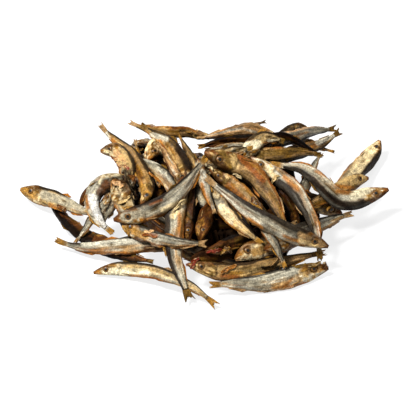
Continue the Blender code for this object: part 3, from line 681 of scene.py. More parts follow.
class Anatomy:
    """Where the parts of one sprat lie along its spine, in metres from the snout."""

    def __init__(self, sprat):
        self.length = np.linalg.norm(np.diff(sprat.spine, axis=0), axis=1).sum()
        head = max(HEAD_BY_DEPTH * sprat.depth, HEAD_BY_LENGTH * self.length)
        self.head = min(head, HEAD_AT_MOST * self.length)
        self.eye_u = EYE_ALONG * self.head
        self.eye_v = EYE_UP * half_depth(sprat, self.eye_u / self.length)
        self.eye_radius = EYE_RADIUS * self.head
        self.crumpled = CRUMPLED.get(sprat.name, 0.15)
        self.torn = TORN.get(sprat.name, 0.25)
        self.wobble = sprat.number


def half_depth(sprat, s):
    """Half the sprat's depth from back to belly at s."""
    return rounded(ALONG_DEPTH, DEPTHS, s) * sprat.depth / 2


def half_thickness(sprat, s):
    """Half the sprat's thickness from flank to flank at s."""
    return rounded(ALONG_THICKNESS, THICKNESSES, s) * THICKNESS_SHARE * sprat.depth / 2


def frame_at(sprat, s):
    """Middle, back direction and flank direction of the sprat at s."""
    middle = between(sprat.spine, s)
    return middle, unit(between(sprat.dorsal, s)), unit(between(sprat.flank, s))


def cross_section(g):
    """Half the thickness at a height g from belly -1 to back 1: flat, with a sunken middle."""
    return np.clip(1 - np.abs(g) ** 3.0, 0, 1) ** 0.75 * (1 + 0.14 * g) * (1 - 0.16 * bump(-0.1, 0.4, g))


def gill_edge(parts, g):
    """How far back the gill cover reaches at a height g."""
    wander = 0.025 * np.sin(6 * g + parts.wobble) + 0.014 * np.sin(13 * g + 2 * parts.wobble)
    return parts.head * (1 - 0.24 * (g + 0.08) ** 2 + wander)


def head_relief(parts, u, v, g):
    """How much the skull, gill cover, eye socket and mouth stand out of the flank."""
    behind = u - gill_edge(parts, g)
    head = parts.head
    cover = rise(-0.36 * head, -0.14 * head, behind) * rise(0.0006, -0.0002, behind)
    slit = bump(0.0011, 0.0010, behind)
    crescent = bump(-0.36 * head, 0.0009, behind)
    from_eye = np.hypot(u - parts.eye_u, v - parts.eye_v) / parts.eye_radius
    socket, rim = rise(1.3, 0.85, from_eye), bump(1.45, 0.22, from_eye)
    mouth = bump(0, 0.0005, mouth_distance(parts, u, v))
    relief = 0.026 * cover - 0.026 * slit - 0.012 * crescent - 0.034 * socket + 0.014 * rim - 0.018 * mouth
    return relief * head


def mouth_distance(parts, u, v):
    """The distance from the line of the mouth, which slants down from the snout."""
    end_u, end_v = 0.30 * parts.head, -0.17 * parts.head
    share = np.clip((u * end_u + v * end_v) / (end_u**2 + end_v**2), 0, 1)
    return np.hypot(u - share * end_u, v - share * end_v)


# How the sprats shade each other: rays from each place, how far they look, where
# they start over the skin, and what a place with none getting out loses of each colour.
SHADE_RAYS = 16
SHADE_REACH = 0.028
SHADE_START = 0.0012
SHADE_LOSS = (0.78, 0.85, 0.94)
SHADE_RINGS, SHADE_STEP = 28, 2


# A direction that hardly any flank faces, to lay the rays out from.
SHADE_ASIDE = (0.31, 0.83, 0.47)
# The golden angle, in half turns.
GOLDEN_TURN = 3 - 5 ** 0.5
# The plain tubes that stand for the sprats there: rings, sides, where the first ring
# lies along the body, and their thickness as a share of the sprat's.
TUBE_RINGS, TUBE_SIDES = 26, 10
TUBE_START, TUBE_THICKNESS = 0.02, 0.9


def ring_faces(rings, sides, first=0):
    """The faces between neighbouring rings of a closed tube whose points start at first."""
    faces = []
    for ring in range(rings - 1):
        for side in range(sides):
            a, b = first + ring * sides + side, first + ring * sides + (side + 1) % sides
            faces.append((a, b, b + sides, a + sides))
    return faces


def capped_tube(rings, sides):
    """The faces of a closed tube with a flat face at each end."""
    last = (rings - 1) * sides
    return [tuple(range(sides))[::-1], *ring_faces(rings, sides), tuple(range(last, last + sides))]


class Surroundings:
    """The sprats as plain tubes, to find how open the space round a place is."""

    def __init__(self, sprats):
        s = np.linspace(TUBE_START, BODY_END, TUBE_RINGS)[:, None]
        turn = 2 * pi * np.arange(TUBE_SIDES)[None] / TUBE_SIDES
        points, faces = [], []
        for sprat in sprats:
            middle, dorsal, flank = frame_at(sprat, s[:, 0])
            up = half_depth(sprat, s) * np.cos(turn)
            out = half_thickness(sprat, s) * np.sin(turn) * TUBE_THICKNESS
            tube = middle[:, None] + dorsal[:, None] * up[..., None] + flank[:, None] * out[..., None]
            faces += ring_faces(TUBE_RINGS, TUBE_SIDES, len(points))
            points += tube.reshape(-1, 3).tolist()
        self.tree = BVHTree.FromPolygons(points, faces)
        k = np.arange(SHADE_RAYS)
        share = np.sqrt((k + 0.5) / SHADE_RAYS)
        swing = k * pi * GOLDEN_TURN
        self.rays = np.stack([share * np.cos(swing), share * np.sin(swing), np.sqrt(1 - share**2)], axis=-1)

    def openness(self, points, normals):
        """The share of rays from each place that leave the heap."""
        aside = unit(np.cross(normals, SHADE_ASIDE))
        ahead = np.cross(normals, aside)
        ways = [aside * a + ahead * b + normals * c for a, b, c in self.rays]
        starts = points + normals * SHADE_START
        free = np.zeros(points.shape[:2])
        for i, j in np.ndindex(free.shape):
            start = starts[i, j].tolist()
            for way in ways:
                free[i, j] += self.tree.ray_cast(start, way[i, j].tolist(), SHADE_REACH)[0] is None
        return free / SHADE_RAYS

    def shade(self, points, normals):
        """The openness at every place of a skin's grid, read between fewer places of it."""
        rings = np.linspace(0, len(points) - 1, SHADE_RINGS).astype(int)
        sides = np.arange(0, points.shape[1], SHADE_STEP)
        few = self.openness(points[np.ix_(rings, sides)], normals[np.ix_(rings, sides)])
        along = np.array([np.interp(np.arange(len(points)), rings, column) for column in few.T]).T
        around = np.arange(points.shape[1])
        return np.array([np.interp(around, sides, row, period=points.shape[1]) for row in along])

    def depth(self, pixels):
        """How far from the photo's camera the sprats lie at each pixel, NaN where there is none."""
        eye = FRONT.eye.tolist()
        ways = unit(FRONT.rays(pixels))
        found = np.full(pixels.shape[:-1], np.nan)
        for i, j in np.ndindex(found.shape):
            place, _, _, away = self.tree.ray_cast(eye, ways[i, j].tolist())
            if place is not None:
                found[i, j] = away
        return found


# How far wrinkles, creases, dents, crumples and the head's pits stand out, in metres
# on a sprat of the usual depth, and the least half thickness of its flesh.
WRINKLE, CREASE, DENT, CRUMPLE, PIT = 0.00060, 0.00050, 0.0017, 0.0018, 0.00035
THINNEST = 0.0002


def skin_grid(sprat, size, around):
    """The skin's points, colours and texture places on a grid of rings and sides."""
    head_rings, body_rings, sides = size
    parts = Anatomy(sprat)
    rng = np.random.default_rng(sprat.number)
    nape = min(parts.head / parts.length * 1.15, 0.6)
    s = np.concatenate([
        np.linspace(SNOUT_START, nape, head_rings, endpoint=False),
        np.linspace(nape, BODY_END, body_rings),
    ])[:, None]
    turn = pi + 2 * pi * np.arange(sides)[None] / sides
    g, side = np.cos(turn), np.sign(np.sin(turn) + 1e-9)
    deep, thick = half_depth(sprat, s), half_thickness(sprat, s)
    u, v = s * parts.length, g * deep
    behind = u - gill_edge(parts, g)
    trunk = rise(0, 0.010, behind) * rise(BODY_END, 0.78, s)
    scale = sprat.depth / USUAL_DEPTH

    wrinkles = (0.6 - 2 * np.abs(by_side(rng, 6, 9, s, g, side))) * WRINKLE * trunk
    creases = (0.4 - np.abs(by_side(rng, 22, 4, s, g + 0.6 * s, side))) * CREASE * trunk
    dents = np.clip(by_side(rng, 7, 3, s, g, side), -1, 0.35) * DENT * trunk
    crumples = by_side(rng, 15, 7, s, g, side) * CRUMPLE * parts.crumpled * rise(0, 0.1, s)
    pits = by_side(rng, 60, 9, s, g, side) * PIT * rise(0.004, -0.001, behind) * rise(0, 0.04, s)
    fade = np.clip(1 - g**2, 0, 1) ** 0.3
    out = thick * cross_section(g)
    out = out + (head_relief(parts, u, v, g) + (wrinkles + creases + dents + crumples + pits) * scale) * fade
    out = np.maximum(out, THINNEST * fade)

    ragged = patches(rng, 34, 1, s, 0) * 0.07 + np.clip(patches(rng, 11, 1, s, 0), 0, 1) * 0.5 * parts.torn
    frayed = deep * ragged * rise(-0.55, -1, g)
    v = v + frayed * rise(parts.head * 0.9, parts.head * 1.2, u) * rise(0.8, 0.6, s)
    v = v + patches(rng, 16, 1, s, 0) * 0.0003 * rise(0.4, 1, g)

    middle, dorsal, flank = frame_at(sprat, s[:, 0])
    sway = patches(rng, 7, 1, s, 0) * 0.0007 * rise(0, 0.2, s) * rise(0.95, 0.7, s)
    middle = middle + dorsal * sway
    points = middle[:, None] + dorsal[:, None] * v[..., None] + flank[:, None] * (side * out)[..., None]
    colours = skin_colours(sprat, parts, rng, s, g, side, u, v)
    colours = stroked(sprat, points, colours)
    outward = dorsal[:, None] * (g / deep)[..., None] + flank[:, None] * (np.sin(turn) / thick)[..., None]
    closed = 1 - around.shade(points, unit(outward))
    colours = colours * (1 - closed[..., None] * SHADE_LOSS)
    round_skin = np.abs(turn - 2 * pi) * deep.max() * 0.8
    places = np.stack(np.broadcast_arrays(u, round_skin, sprat.number * 0.37 + 0.02 * np.sin(turn)), axis=-1)
    return points, colours, places


def skin_colours(sprat, parts, rng, s, g, side, u, v):
    """Dark back, shining flank, amber belly and a golden head, all of it blotched."""
    back, band, flank, patch, light, belly, streak, head, cheek, snout = (paint(p) for p in TONES[sprat.tone])
    wander = g + 0.15 * by_side(rng, 7, 2, s, g, side) + 0.08 * by_side(rng, 26, 5, s, g, side)
    blotch = by_side(rng, 9, 4, s, g, side)
    fine = by_side(rng, 34, 10, s, g, side)
    lines = by_side(rng, 4, 11, s, g, side)
    behind = u - gill_edge(parts, g)
    back_edge = DARK_BACKS.get(sprat.name, rng.uniform(0.55, 0.74))

    skin = over(np.broadcast_to(flank, (*blotch.shape, 3)), patch, rise(0.1, 0.7, blotch - 0.6 * wander))
    skin = over(skin, light, 0.8 * rise(0.1, 0.7, by_side(rng, 6, 5, s, g, side) + 0.7 * lines))
    skin = over(skin, patch * 0.45, 0.7 * rise(0.25, 0.75, by_side(rng, 5, 14, s, g, side)))
    skin = over(skin, patch * 0.5, 0.6 * rise(0.45, 0.85, fine))
    skin = over(skin, band, 0.45 * bump(back_edge - 0.12, 0.15, wander + 0.15 * lines))
    skin = over(skin, belly, rise(-0.55, -0.95, wander) * (0.3 + 0.7 * rise(-0.3, 0.4, blotch)))
    skin = over(skin, streak, 0.8 * rise(-0.6, -0.9, wander) * rise(0.1, 0.6, fine + 0.5 * blotch))
    smears = by_side(rng, 4, 8, s, g, side)
    skin = over(skin, streak, 0.55 * rise(0.4, 0.75, smears) * rise(0.5, -0.2, wander))
    skin = over(skin, back, 0.94 * rise(back_edge - 0.05, back_edge + 0.08, wander))
    # Streaks of the band's colour over the dark back: partly its own colour, partly painted glints.
    skin = over(skin, band, 0.30 * rise(0.4, 0.8, lines) * rise(back_edge, back_edge + 0.2, wander))

    skull = over(np.broadcast_to(head, skin.shape), cheek, rise(-0.2, 0.4, blotch + 0.6 * fine - 0.5 * g))
    skull = over(skull, light, 0.8 * rise(0.25, 0.6, fine + 0.4 * blotch - 0.3 * g))
    skull = over(skull, snout, rise(0.36, 0.06, u / parts.head + 0.15 * fine) * 0.85)
    skull = over(skull, paint("umber"), 0.85 * rise(0.30, 0.75, wander))
    skull = over(skull, snout, 0.6 * rise(0.2, 0.7, -fine) * rise(0.3, -0.5, wander))
    cover_edge = bump(-0.30 * parts.head, 0.06 * parts.head, behind + 0.002 * fine)
    skull = over(skull, paint("earth"), 0.5 * cover_edge)
    skin = over(skin, skull, rise(0.0006, -0.0006, behind))

    # Painted shadow in the gill slit, and a painted highlight along the gill cover's raised edge just in
    # front of it.
    skin = over(skin, paint("night"), 0.5 * bump(0.0011, 0.0007, behind) * rise(0.8, 0.2, np.abs(g + 0.1)))
    skin = over(skin, light, 0.3 * bump(-0.0012, 0.0009, behind) * rise(0.7, 0.3, np.abs(g)))
    from_eye = np.hypot(u - parts.eye_u, v - parts.eye_v) / parts.eye_radius
    skin = over(skin, paint("umber"), 0.85 * bump(1.05, 0.22, from_eye))
    skin = over(skin, light, 0.18 * bump(1.7, 0.25, from_eye))
    skin = over(skin, paint("night"), 0.7 * bump(0, 0.0005, mouth_distance(parts, u, v)))
    # Painted shade: the flank is darkened in random hollow patches, less near the snout.
    painted_hollow_shade = rise(0.1, -0.8, by_side(rng, 7, 3, s, g, side)) * rise(0.0, 0.1, s)
    # Painted shade darkens the buried sprats; the others get a random brightness of their own.
    tone_and_buried_shade = BURIED_SHADE if sprat.name.startswith("inner") else rng.uniform(0.74, 1.14)
    return skin * tone_and_buried_shade * (1 + 0.16 * fine[..., None]) * (1 - 0.5 * painted_hollow_shade[..., None])


def stroked(sprat, points, colours):
    """Adds the marks that single sprats show in the photo, given by their place in it."""
    pixels = FRONT.pixels_of(points)
    for name, colour, width, start, end in STROKES:
        if name != sprat.name:
            continue
        start, end = np.array(start, float), np.array(end, float)
        way = end - start
        share = np.clip(((pixels - start) @ way) / (way @ way), 0, 1)
        away = np.linalg.norm(pixels - start - share[..., None] * way, axis=-1)
        colours = over(colours, paint(colour), 0.85 * rise(width / 2 + 1.2, width / 2 - 1.2, away))
    return colours


class Piece:
    """Gathers points, faces and their colouring for one mesh piece."""

    def __init__(self, name):
        self.name = name
        self.points, self.faces, self.colours, self.places, self.uvs = [], [], [], [], []
        self.count = 0

    def add(self, points, faces, colours, places, uvs=None):
        """Adds a part, its faces numbered from its own first point."""
        self.points.append(points)
        self.faces += [tuple(int(k) + self.count for k in face) for face in faces]
        self.colours.append(np.broadcast_to(colours, points.shape))
        self.places.append(places)
        self.count += len(points)
        if uvs is not None:
            self.uvs += uvs

    def build(self, material):
        """Makes the object, no point of it outside the solid model's box."""
        points = np.clip(np.concatenate(self.points), CAD_BOX[0], CAD_BOX[1])
        mesh = bpy.data.meshes.new(self.name)
        mesh.from_pydata(points.tolist(), [], self.faces)
        mesh.shade_smooth()
        colours = np.clip(np.concatenate(self.colours), 0, 1)
        shades = mesh.attributes.new("skin_colour", "FLOAT_COLOR", "POINT")
        shades.data.foreach_set("color", np.column_stack([colours, np.ones(len(colours))]).ravel())
        places = mesh.attributes.new("skin_place", "FLOAT_VECTOR", "POINT")
        places.data.foreach_set("vector", np.concatenate(self.places).ravel())
        if self.uvs:
            layer = mesh.uv_layers.new(name="OFBake")
            layer.data.foreach_set("uv", np.array(self.uvs).ravel())
        mesh.materials.append(material)
        piece = bpy.data.objects.new(self.name, mesh)
        bpy.context.scene.collection.objects.link(piece)
        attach(piece, "root")
        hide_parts("sprat_heap")
        return piece


def add_skin(piece, sprat, size, cell, around):
    """The skin of one sprat as a closed tube, its texture laid out in its own cell."""
    points, colours, places = skin_grid(sprat, size, around)
    rings, sides = points.shape[:2]
    flat = [grid.reshape(-1, 3) for grid in (points, colours, places)]
    ends = [np.stack([grid[0].mean(axis=0), grid[-1].mean(axis=0)]) for grid in (points, colours, places)]
    tip, stern = rings * sides, rings * sides + 1
    left, bottom, width, height = cell
    run = (np.arange(rings) + 1) / (rings + 1)

    def corner(ring, side):
        return left + width * run[ring], bottom + height * side / sides

    faces, uvs = ring_faces(rings, sides), []
    for ring in range(rings - 1):
        for side in range(sides):
            uvs += [corner(ring, side), corner(ring, side + 1)]
            uvs += [corner(ring + 1, side + 1), corner(ring + 1, side)]
    last = (rings - 1) * sides
    for side in range(sides):
        a, b = side, (side + 1) % sides
        middle = bottom + height * (side + 0.5) / sides
        faces.append((tip, b, a))
        uvs += [(left, middle), corner(0, side + 1), corner(0, side)]
        faces.append((stern, last + a, last + b))
        uvs += [(left + width, middle), corner(rings - 1, side), corner(rings - 1, side + 1)]
    grids = [np.concatenate([whole, end]) for whole, end in zip(flat, ends)]
    piece.add(grids[0], faces, grids[1], grids[2], uvs)


# The empty border round each cell, as a share of the texture.
CELL_MARGIN = 0.006


def cells(count):
    """Equal cells of the texture, three times as long as high, with a margin round each."""
    rows = int(np.ceil(np.sqrt(3 * count)))
    columns = int(np.ceil(count / rows))
    width, height = 1 / columns, 1 / rows
    for k in range(count):
        row, column = k % rows, k // rows
        left, bottom = column * width + CELL_MARGIN, row * height + CELL_MARGIN
        yield (left, bottom, width - 2 * CELL_MARGIN, height - 2 * CELL_MARGIN)


def add_sheet(piece, points, thick, colours, places):
    """A thin closed sheet on a grid of points; thick is its thickness at each of them."""
    rows, columns = points.shape[:2]
    normal = unit(np.cross(np.gradient(points, axis=0), np.gradient(points, axis=1)) + 1e-12)
    offset = normal * (np.broadcast_to(thick, (rows, columns)) / 2)[..., None]
    front, rear = points + offset, points - offset
    both = np.concatenate([front.reshape(-1, 3), rear.reshape(-1, 3)])
    back = rows * columns
    faces = []
    for i in range(rows - 1):
        for j in range(columns - 1):
            a, b = i * columns + j, i * columns + j + 1
            faces.append((a, a + columns, b + columns, b))
            faces.append((a + back, b + back, b + columns + back, a + columns + back))
    border = list(range(columns))
    border += [i * columns + columns - 1 for i in range(1, rows)]
    border += [(rows - 1) * columns + j for j in range(columns - 2, -1, -1)]
    border += [i * columns for i in range(rows - 2, 0, -1)]
    for a, b in zip(border, border[1:] + border[:1]):
        faces.append((a, b, b + back, a + back))
    colours = np.broadcast_to(colours, points.shape).reshape(-1, 3)
    places = places.reshape(-1, 3)
    piece.add(both, faces, np.concatenate([colours, colours]), np.concatenate([places, places]))


TAIL_ROWS, TAIL_COLUMNS = 9, 15
TAIL_SEED = 500
TAIL_PLEATS = 9
# How far the tail fin spreads, by the body's depth, where it shows its fork and
# where it dried folded or broke off.
TAIL_SPREAD, STUB_SPREAD = 0.56, 0.36
FORKED = (
    "center_vertical", "bottom_left", "crossing_low", "upper_right_one", "upper_right_two",
    "back_spike",
)
BLUNT = ("front_mid", "left_white", "back_left_twist", "right_tail", "front_right", "hanging_tail")
BLUNT_SPREAD = 1.25
# How thick the tail fin is at its root and at its edge.
FIN_BASE, FIN_EDGE = 0.0006, 0.00022


def add_tail(piece, sprat):
    """The forked tail fin, frayed along its rays."""
    rng = np.random.default_rng(sprat.number + TAIL_SEED)
    t = np.linspace(0, 1, TAIL_ROWS)[:, None]
    w = np.linspace(-1, 1, TAIL_COLUMNS)[None]
    forked = sprat.name in FORKED
    fork = 0.32 if forked else rng.uniform(0.0, 0.2)
    frayed = 1 - 0.20 * rng.uniform(0, 1, (1, TAIL_COLUMNS))
    reach = (1 - fork + fork * np.abs(w) ** 1.3) * frayed
    s = BODY_END - 0.02 + (1.0 - BODY_END + 0.02) * t * reach
    middle, dorsal, flank = frame_at(sprat, s)
    root = half_depth(sprat, np.array(BODY_END)) * 0.9
    widest = (TAIL_SPREAD if forked else STUB_SPREAD) * sprat.depth / 2
    if sprat.name in BLUNT:
        widest = root * BLUNT_SPREAD
    spread = root + (widest - root) * (t * reach) ** 1.1
    pleat = 0.00022 * np.cos(w * TAIL_PLEATS * pi) * t + 0.0012 * patches(rng, 3, 2, t, w) * t
    points = middle + dorsal * (w * spread)[..., None] + flank * pleat[..., None]
    thick = FIN_BASE + (FIN_EDGE - FIN_BASE) * t
    base = paint("olive" if forked else TONES[sprat.tone][2])
    edge, dark = paint(rng.choice(["gold", "gold", "olive", "tan"])), paint("umber")
    colours = over(np.broadcast_to(base, points.shape), edge, rise(0.05, 0.5, t) * np.ones_like(w))
    colours = over(colours, dark, 0.55 * rise(0.2, 0.9, np.abs(w)) * rise(0.1, 0.6, patches(rng, 3, 5, t, w)))
    colours = over(colours, dark, 0.30 * (np.cos(w * TAIL_PLEATS * pi) < -0.2) * np.ones_like(t))
    places = np.stack(np.broadcast_arrays(t * 0.012, w * 0.004, sprat.number * 0.37), axis=-1)
    add_sheet(piece, points, thick, colours, places)


# The small fins: from and to along the body, at what height from belly -1 to back 1,
# their length on a sprat of the usual depth, and how far they stand off. The pair
# behind the gill covers is placed from the edge of those.
BACK_FIN = (0.50, 0.60, 0.96, 0.0075, 0.30)
VENT_FIN = (0.68, 0.82, -0.96, 0.0045, 0.28)
GILL_FIN = (0.01, 0.035, -0.62, 0.0095, 0.12)
BELLY_FIN = (0.50, 0.52, -0.90, 0.0055, 0.12)
FIN_ROWS, FIN_COLUMNS = 6, 8
FIN_RAYS = 7


def add_fin(piece, sprat, fin, side):
    """A small fin folded back along the body: its root runs from start to end."""
    start, end, g, reach, lean = fin
    reach = reach * (sprat.depth / USUAL_DEPTH)
    rng = np.random.default_rng(sprat.number * 7 + int(1000 * start) + side)
    t = np.linspace(0, 1, FIN_ROWS)[:, None]
    w = np.linspace(0, 1, FIN_COLUMNS)[None]
    s = np.clip(start + (end - start) * w + 0 * t, 0, 1)
    middle, dorsal, flank = frame_at(sprat, s)
    ahead = unit(np.cross(dorsal, flank))
    root_up = half_depth(sprat, s) * g * 0.97
    root_out = half_thickness(sprat, s) * cross_section(np.array(g)) * 0.95
    root = middle + dorsal * root_up[..., None] + flank * (side * root_out)[..., None]
    way = unit(ahead + dorsal * (np.sign(g) * lean) + flank * (side * lean * 0.8))
    length = reach * (1 - 0.55 * w) * (1 - 0.2 * rng.uniform(0, 1, (1, FIN_COLUMNS)))
    wave = 0.0004 * patches(rng, 2, 3, t, w) * t
    points = root + way * (t * length)[..., None] + flank * wave[..., None]
    shade = paint(rng.choice(["amber", "gold", "tan", "olive"]))
    rays = 0.45 * (np.cos(w * FIN_RAYS * pi) < -0.3) + 0 * t
    colours = over(np.broadcast_to(shade, points.shape), paint("umber"), rays)
    places = np.stack(np.broadcast_arrays(t * length, w * 0.005, sprat.number * 0.37), axis=-1)
    add_sheet(piece, points, 0.0005 - 0.0002 * t, colours, places)


def add_fins(piece, sprat):
    """Dorsal, anal and belly fins, and the pair behind the gill covers."""
    parts = Anatomy(sprat)
    gill = parts.head / parts.length
    behind_gill = (gill + GILL_FIN[0], gill + GILL_FIN[1], *GILL_FIN[2:])
    add_tail(piece, sprat)
    add_fin(piece, sprat, BACK_FIN, 0)
    add_fin(piece, sprat, VENT_FIN, 0)
    for side in (-1, 1):
        add_fin(piece, sprat, behind_gill, side)
        add_fin(piece, sprat, BELLY_FIN, side)


# An eye's rings from its middle out: how far out and how high, as shares of its
# radius and of its bulge, and their paint.
EYE_RINGS = (
    (0.0, 1.0, "black"), (0.28, 0.96, "black"), (0.44, 0.90, "night"), (0.52, 0.85, "olive"),
    (0.66, 0.72, "earth"), (0.82, 0.48, "olive"), (0.93, 0.22, "umber"), (1.0, -0.3, "night"),
)
EYE_SIDES = 20
EYE_BULGE = 0.42
EYE_SINK = 0.035


def add_eyes(piece, sprat):
    """Both eyes: a dark pupil in a grey and gold ring, sunk in its socket."""
    parts = Anatomy(sprat)
    s = np.array(parts.eye_u / parts.length)
    middle, dorsal, flank = frame_at(sprat, s)
    ahead = unit(np.cross(dorsal, flank))
    g = parts.eye_v / half_depth(sprat, s)
    out = half_thickness(sprat, s) * cross_section(g) - EYE_SINK * parts.head
    turn = 2 * pi * np.arange(EYE_SIDES) / EYE_SIDES
    for side in (-1, 1):
        centre = middle + dorsal * parts.eye_v + flank * (side * out)
        points, colours = [], []
        for share, height, colour in EYE_RINGS:
            radius = max(share, 0.01) * parts.eye_radius * 1.02
            ring = np.cos(turn)[:, None] * dorsal + side * np.sin(turn)[:, None] * ahead
            points.append(centre + ring * radius + flank * (side * height * EYE_BULGE * parts.eye_radius))
            colours.append(np.broadcast_to(paint(colour), (EYE_SIDES, 3)))
        points = np.concatenate(points)
        piece.add(points, capped_tube(len(EYE_RINGS), EYE_SIDES), np.concatenate(colours), points)


# Torn bits that lie on the heap: paint, width in pixels, from and to in the photo.
SCRAPS = (
    ("lemon", 3, (185, 199), (173, 212)),
    ("blood", 5, (186, 265), (200, 259)),
    ("blood", 4, (191, 269), (197, 260)),
    ("blood", 4, (206, 252), (222, 249)),
    ("earth", 4, (224, 247), (232, 253)),
    ("gold", 4, (220, 254), (230, 247)),
    ("amber", 5, (221, 273), (237, 265)),
    ("rust", 4, (142, 234), (157, 237)),
    ("peach", 4, (144, 232), (154, 231)),
    ("gold", 5, (122, 226), (130, 236)),
    ("cream", 3, (233, 174), (242, 178)),
    ("straw", 4, (270, 183), (279, 175)),
    ("peach", 6, (112, 182), (124, 186)),
    ("straw", 4, (118, 204), (130, 196)),
    ("gold", 4, (122, 208), (133, 207)),
    ("straw", 4, (116, 163), (127, 163)),
    ("peach", 4, (115, 158), (123, 167)),
    ("cream", 4, (105, 151), (114, 154)),
    ("rust", 3, (111, 156), (119, 161)),
    ("blood", 4, (124, 166), (132, 171)),
    ("ink", 6, (122, 172), (137, 200)),
    ("night", 4, (126, 170), (140, 196)),
    ("ink", 3, (133, 196), (143, 182)),
    ("olive", 5, (292, 267), (321, 263)),
    ("umber", 5, (324, 262), (326, 269)),
    ("amber", 3, (149, 172), (166, 188)),
    ("cream", 4, (205, 162), (213, 170)),
    ("earth", 5, (58, 204), (66, 212)),
)
SCRAP_ROWS, SCRAP_COLUMNS = 16, 8
SCRAP_SEED = 900
# How far a scrap can bend to either side of its middle, to follow what it lies on.
SCRAP_BEND = 0.003
# How far a scrap lies over what it is on, and how thick it is.
SCRAP_LIFT, SCRAP_THICK = 0.0010, 0.0006


def add_scraps(piece, heap):
    """Curled strips of skin, gill and flesh that lie on the sprats."""
    for number, (colour, width, start, end) in enumerate(SCRAPS):
        rng = np.random.default_rng(SCRAP_SEED + number)
        t = np.linspace(0, 1, SCRAP_ROWS)[:, None]
        w = np.linspace(-1, 1, SCRAP_COLUMNS)[None]
        start, end = np.array(start, float), np.array(end, float)
        way = end - start
        across = np.array([-way[1], way[0]]) / np.linalg.norm(way)
        taper = np.clip(np.sin(pi * (0.08 + 0.84 * t)), 0, 1) ** 0.6
        ragged = 1 + 0.4 * patches(rng, 11, 1, t, w)
        spread = w * width * 0.4 * taper * ragged + 1.6 * patches(rng, 4, 1, t, 0 * w)
        pixels = start + t[..., None] * way + spread[..., None] * across
        depth = heap.depth(pixels)
        middle = np.nanmedian(depth)
        depth = np.clip(np.where(np.isnan(depth), middle, depth), middle - SCRAP_BEND, middle + SCRAP_BEND)
        depth = 0.5 * depth + 0.5 * depth.mean(axis=1, keepdims=True)
        curl = 0.0006 * patches(rng, 5, 2, t, w) - 0.0004 * w**2
        points = FRONT.eye + unit(FRONT.rays(pixels)) * (depth - SCRAP_LIFT + curl)[..., None]
        colours = np.broadcast_to(paint(colour), points.shape)
        colours = over(colours, paint("umber"), 0.4 * rise(0, 0.7, patches(rng, 9, 4, t, w)))
        colours = over(colours, paint("cream"), 0.4 * rise(0.2, 0.9, patches(rng, 12, 5, t, w)))
        places = np.stack(np.broadcast_arrays(t * 0.02, w * 0.004, number * 0.61), axis=-1)
        add_sheet(piece, points, SCRAP_THICK + 0 * t * w, colours, places)


# The core under the sprats: its outline on the ground round the photo's middle, and
# where its own middle is.
CORE_OUTLINE = (
    (-0.031, -0.058), (-0.014, -0.073), (0.004, -0.083), (0.030, -0.090), (0.053, -0.104),
    (0.060, -0.070), (0.068, -0.046), (0.091, -0.034), (0.092, -0.012), (0.070, 0.006),
    (0.060, 0.030), (0.055, 0.054), (0.044, 0.070), (0.026, 0.075), (0.009, 0.065),
    (-0.009, 0.057), (-0.026, 0.065), (-0.046, 0.073), (-0.061, 0.060), (-0.068, 0.040),
    (-0.071, 0.018), (-0.060, -0.006), (-0.051, -0.038),
)
CORE_MIDDLE = np.add((0.004, -0.024), AIM)
CORE_SECTORS, CORE_ROWS = 120, 26
CORE_SHRINK = 0.88
CORE_SEED = 77
# How far round a place sprats count as over it, how deep the core stays under them,
# and how low and how high it may be.
CORE_FEEL = 0.010
CORE_SINK = 0.0045
CORE_RIM, CORE_TOP = 0.003, 0.046
# Behind the crest the heap falls away, and there the photo shows the table.
VALLEY_X, VALLEY_HALF, VALLEY_FRONT = -0.008, 0.016, 0.023
VALLEY_SLOPE = 0.74


def core_plan(share):
    """The core's outline seen from above, drawn in to a share of its reach."""
    outline = smooth_route((*CORE_OUTLINE, CORE_OUTLINE[0]), CORE_SECTORS + 1)[:-1] + AIM
    return CORE_MIDDLE + (outline - CORE_MIDDLE) * share


def core_height(plan, sprats):
    """How high the core may stand at places seen from above, under the lowest sprats there."""
    spines = np.concatenate([sprat.spine for sprat in sprats])
    near = np.hypot(plan[..., None, 0] - spines[:, 0], plan[..., None, 1] - spines[:, 1]) < CORE_FEEL
    lowest = np.where(near, spines[:, 2], np.inf).min(axis=-1)
    falls = VALLEY_SLOPE * np.clip(plan[..., 1] - VALLEY_FRONT, 0, None)
    most = CORE_TOP - falls * rise(VALLEY_HALF * 1.5, VALLEY_HALF, np.abs(plan[..., 0] - VALLEY_X))
    height = np.where(np.isfinite(lowest), lowest, 0) - CORE_SINK
    return np.maximum(np.minimum(height, most), CORE_RIM)


# Sprats that lie round the core's foot, in layers: each layer's height and its share
# of the core's reach, how long the sprats are, and how far on the next one starts.
FOOT_LAYERS = ((0.0055, 0.97), (0.0130, 0.95), (0.0205, 0.93), (0.0280, 0.90))
FOOT_LENGTHS = (0.075, 0.100)
FOOT_STEP = 0.046
FOOT_DEPTH = 0.0125
FOOT_SEED = 31
FOOT_SOFT_STEPS = 17
# How far their backs lean (radians), and how far their ends and bends go up and down.
FOOT_LEAN, FOOT_TILT, FOOT_WAVE = 0.9, 0.004, 0.0015
FOOT_TONES = ("silver", "gold", "dark", "gold", "silver", "pink")


class FootSprat:
    """A sprat that lies along the core's foot, one of its flanks turned outward."""

    def __init__(self, number, spine, outward, lean, depth, tone):
        self.name, self.number = f"foot_{number}", number
        self.tone, self.depth, self.spine = tone, depth, spine
        self.dorsal = unit(np.array([0, 0, 1.0]) * cos(lean) + outward * sin(lean))
        self.flank = unit(np.cross(unit(np.gradient(spine, axis=0)), self.dorsal))


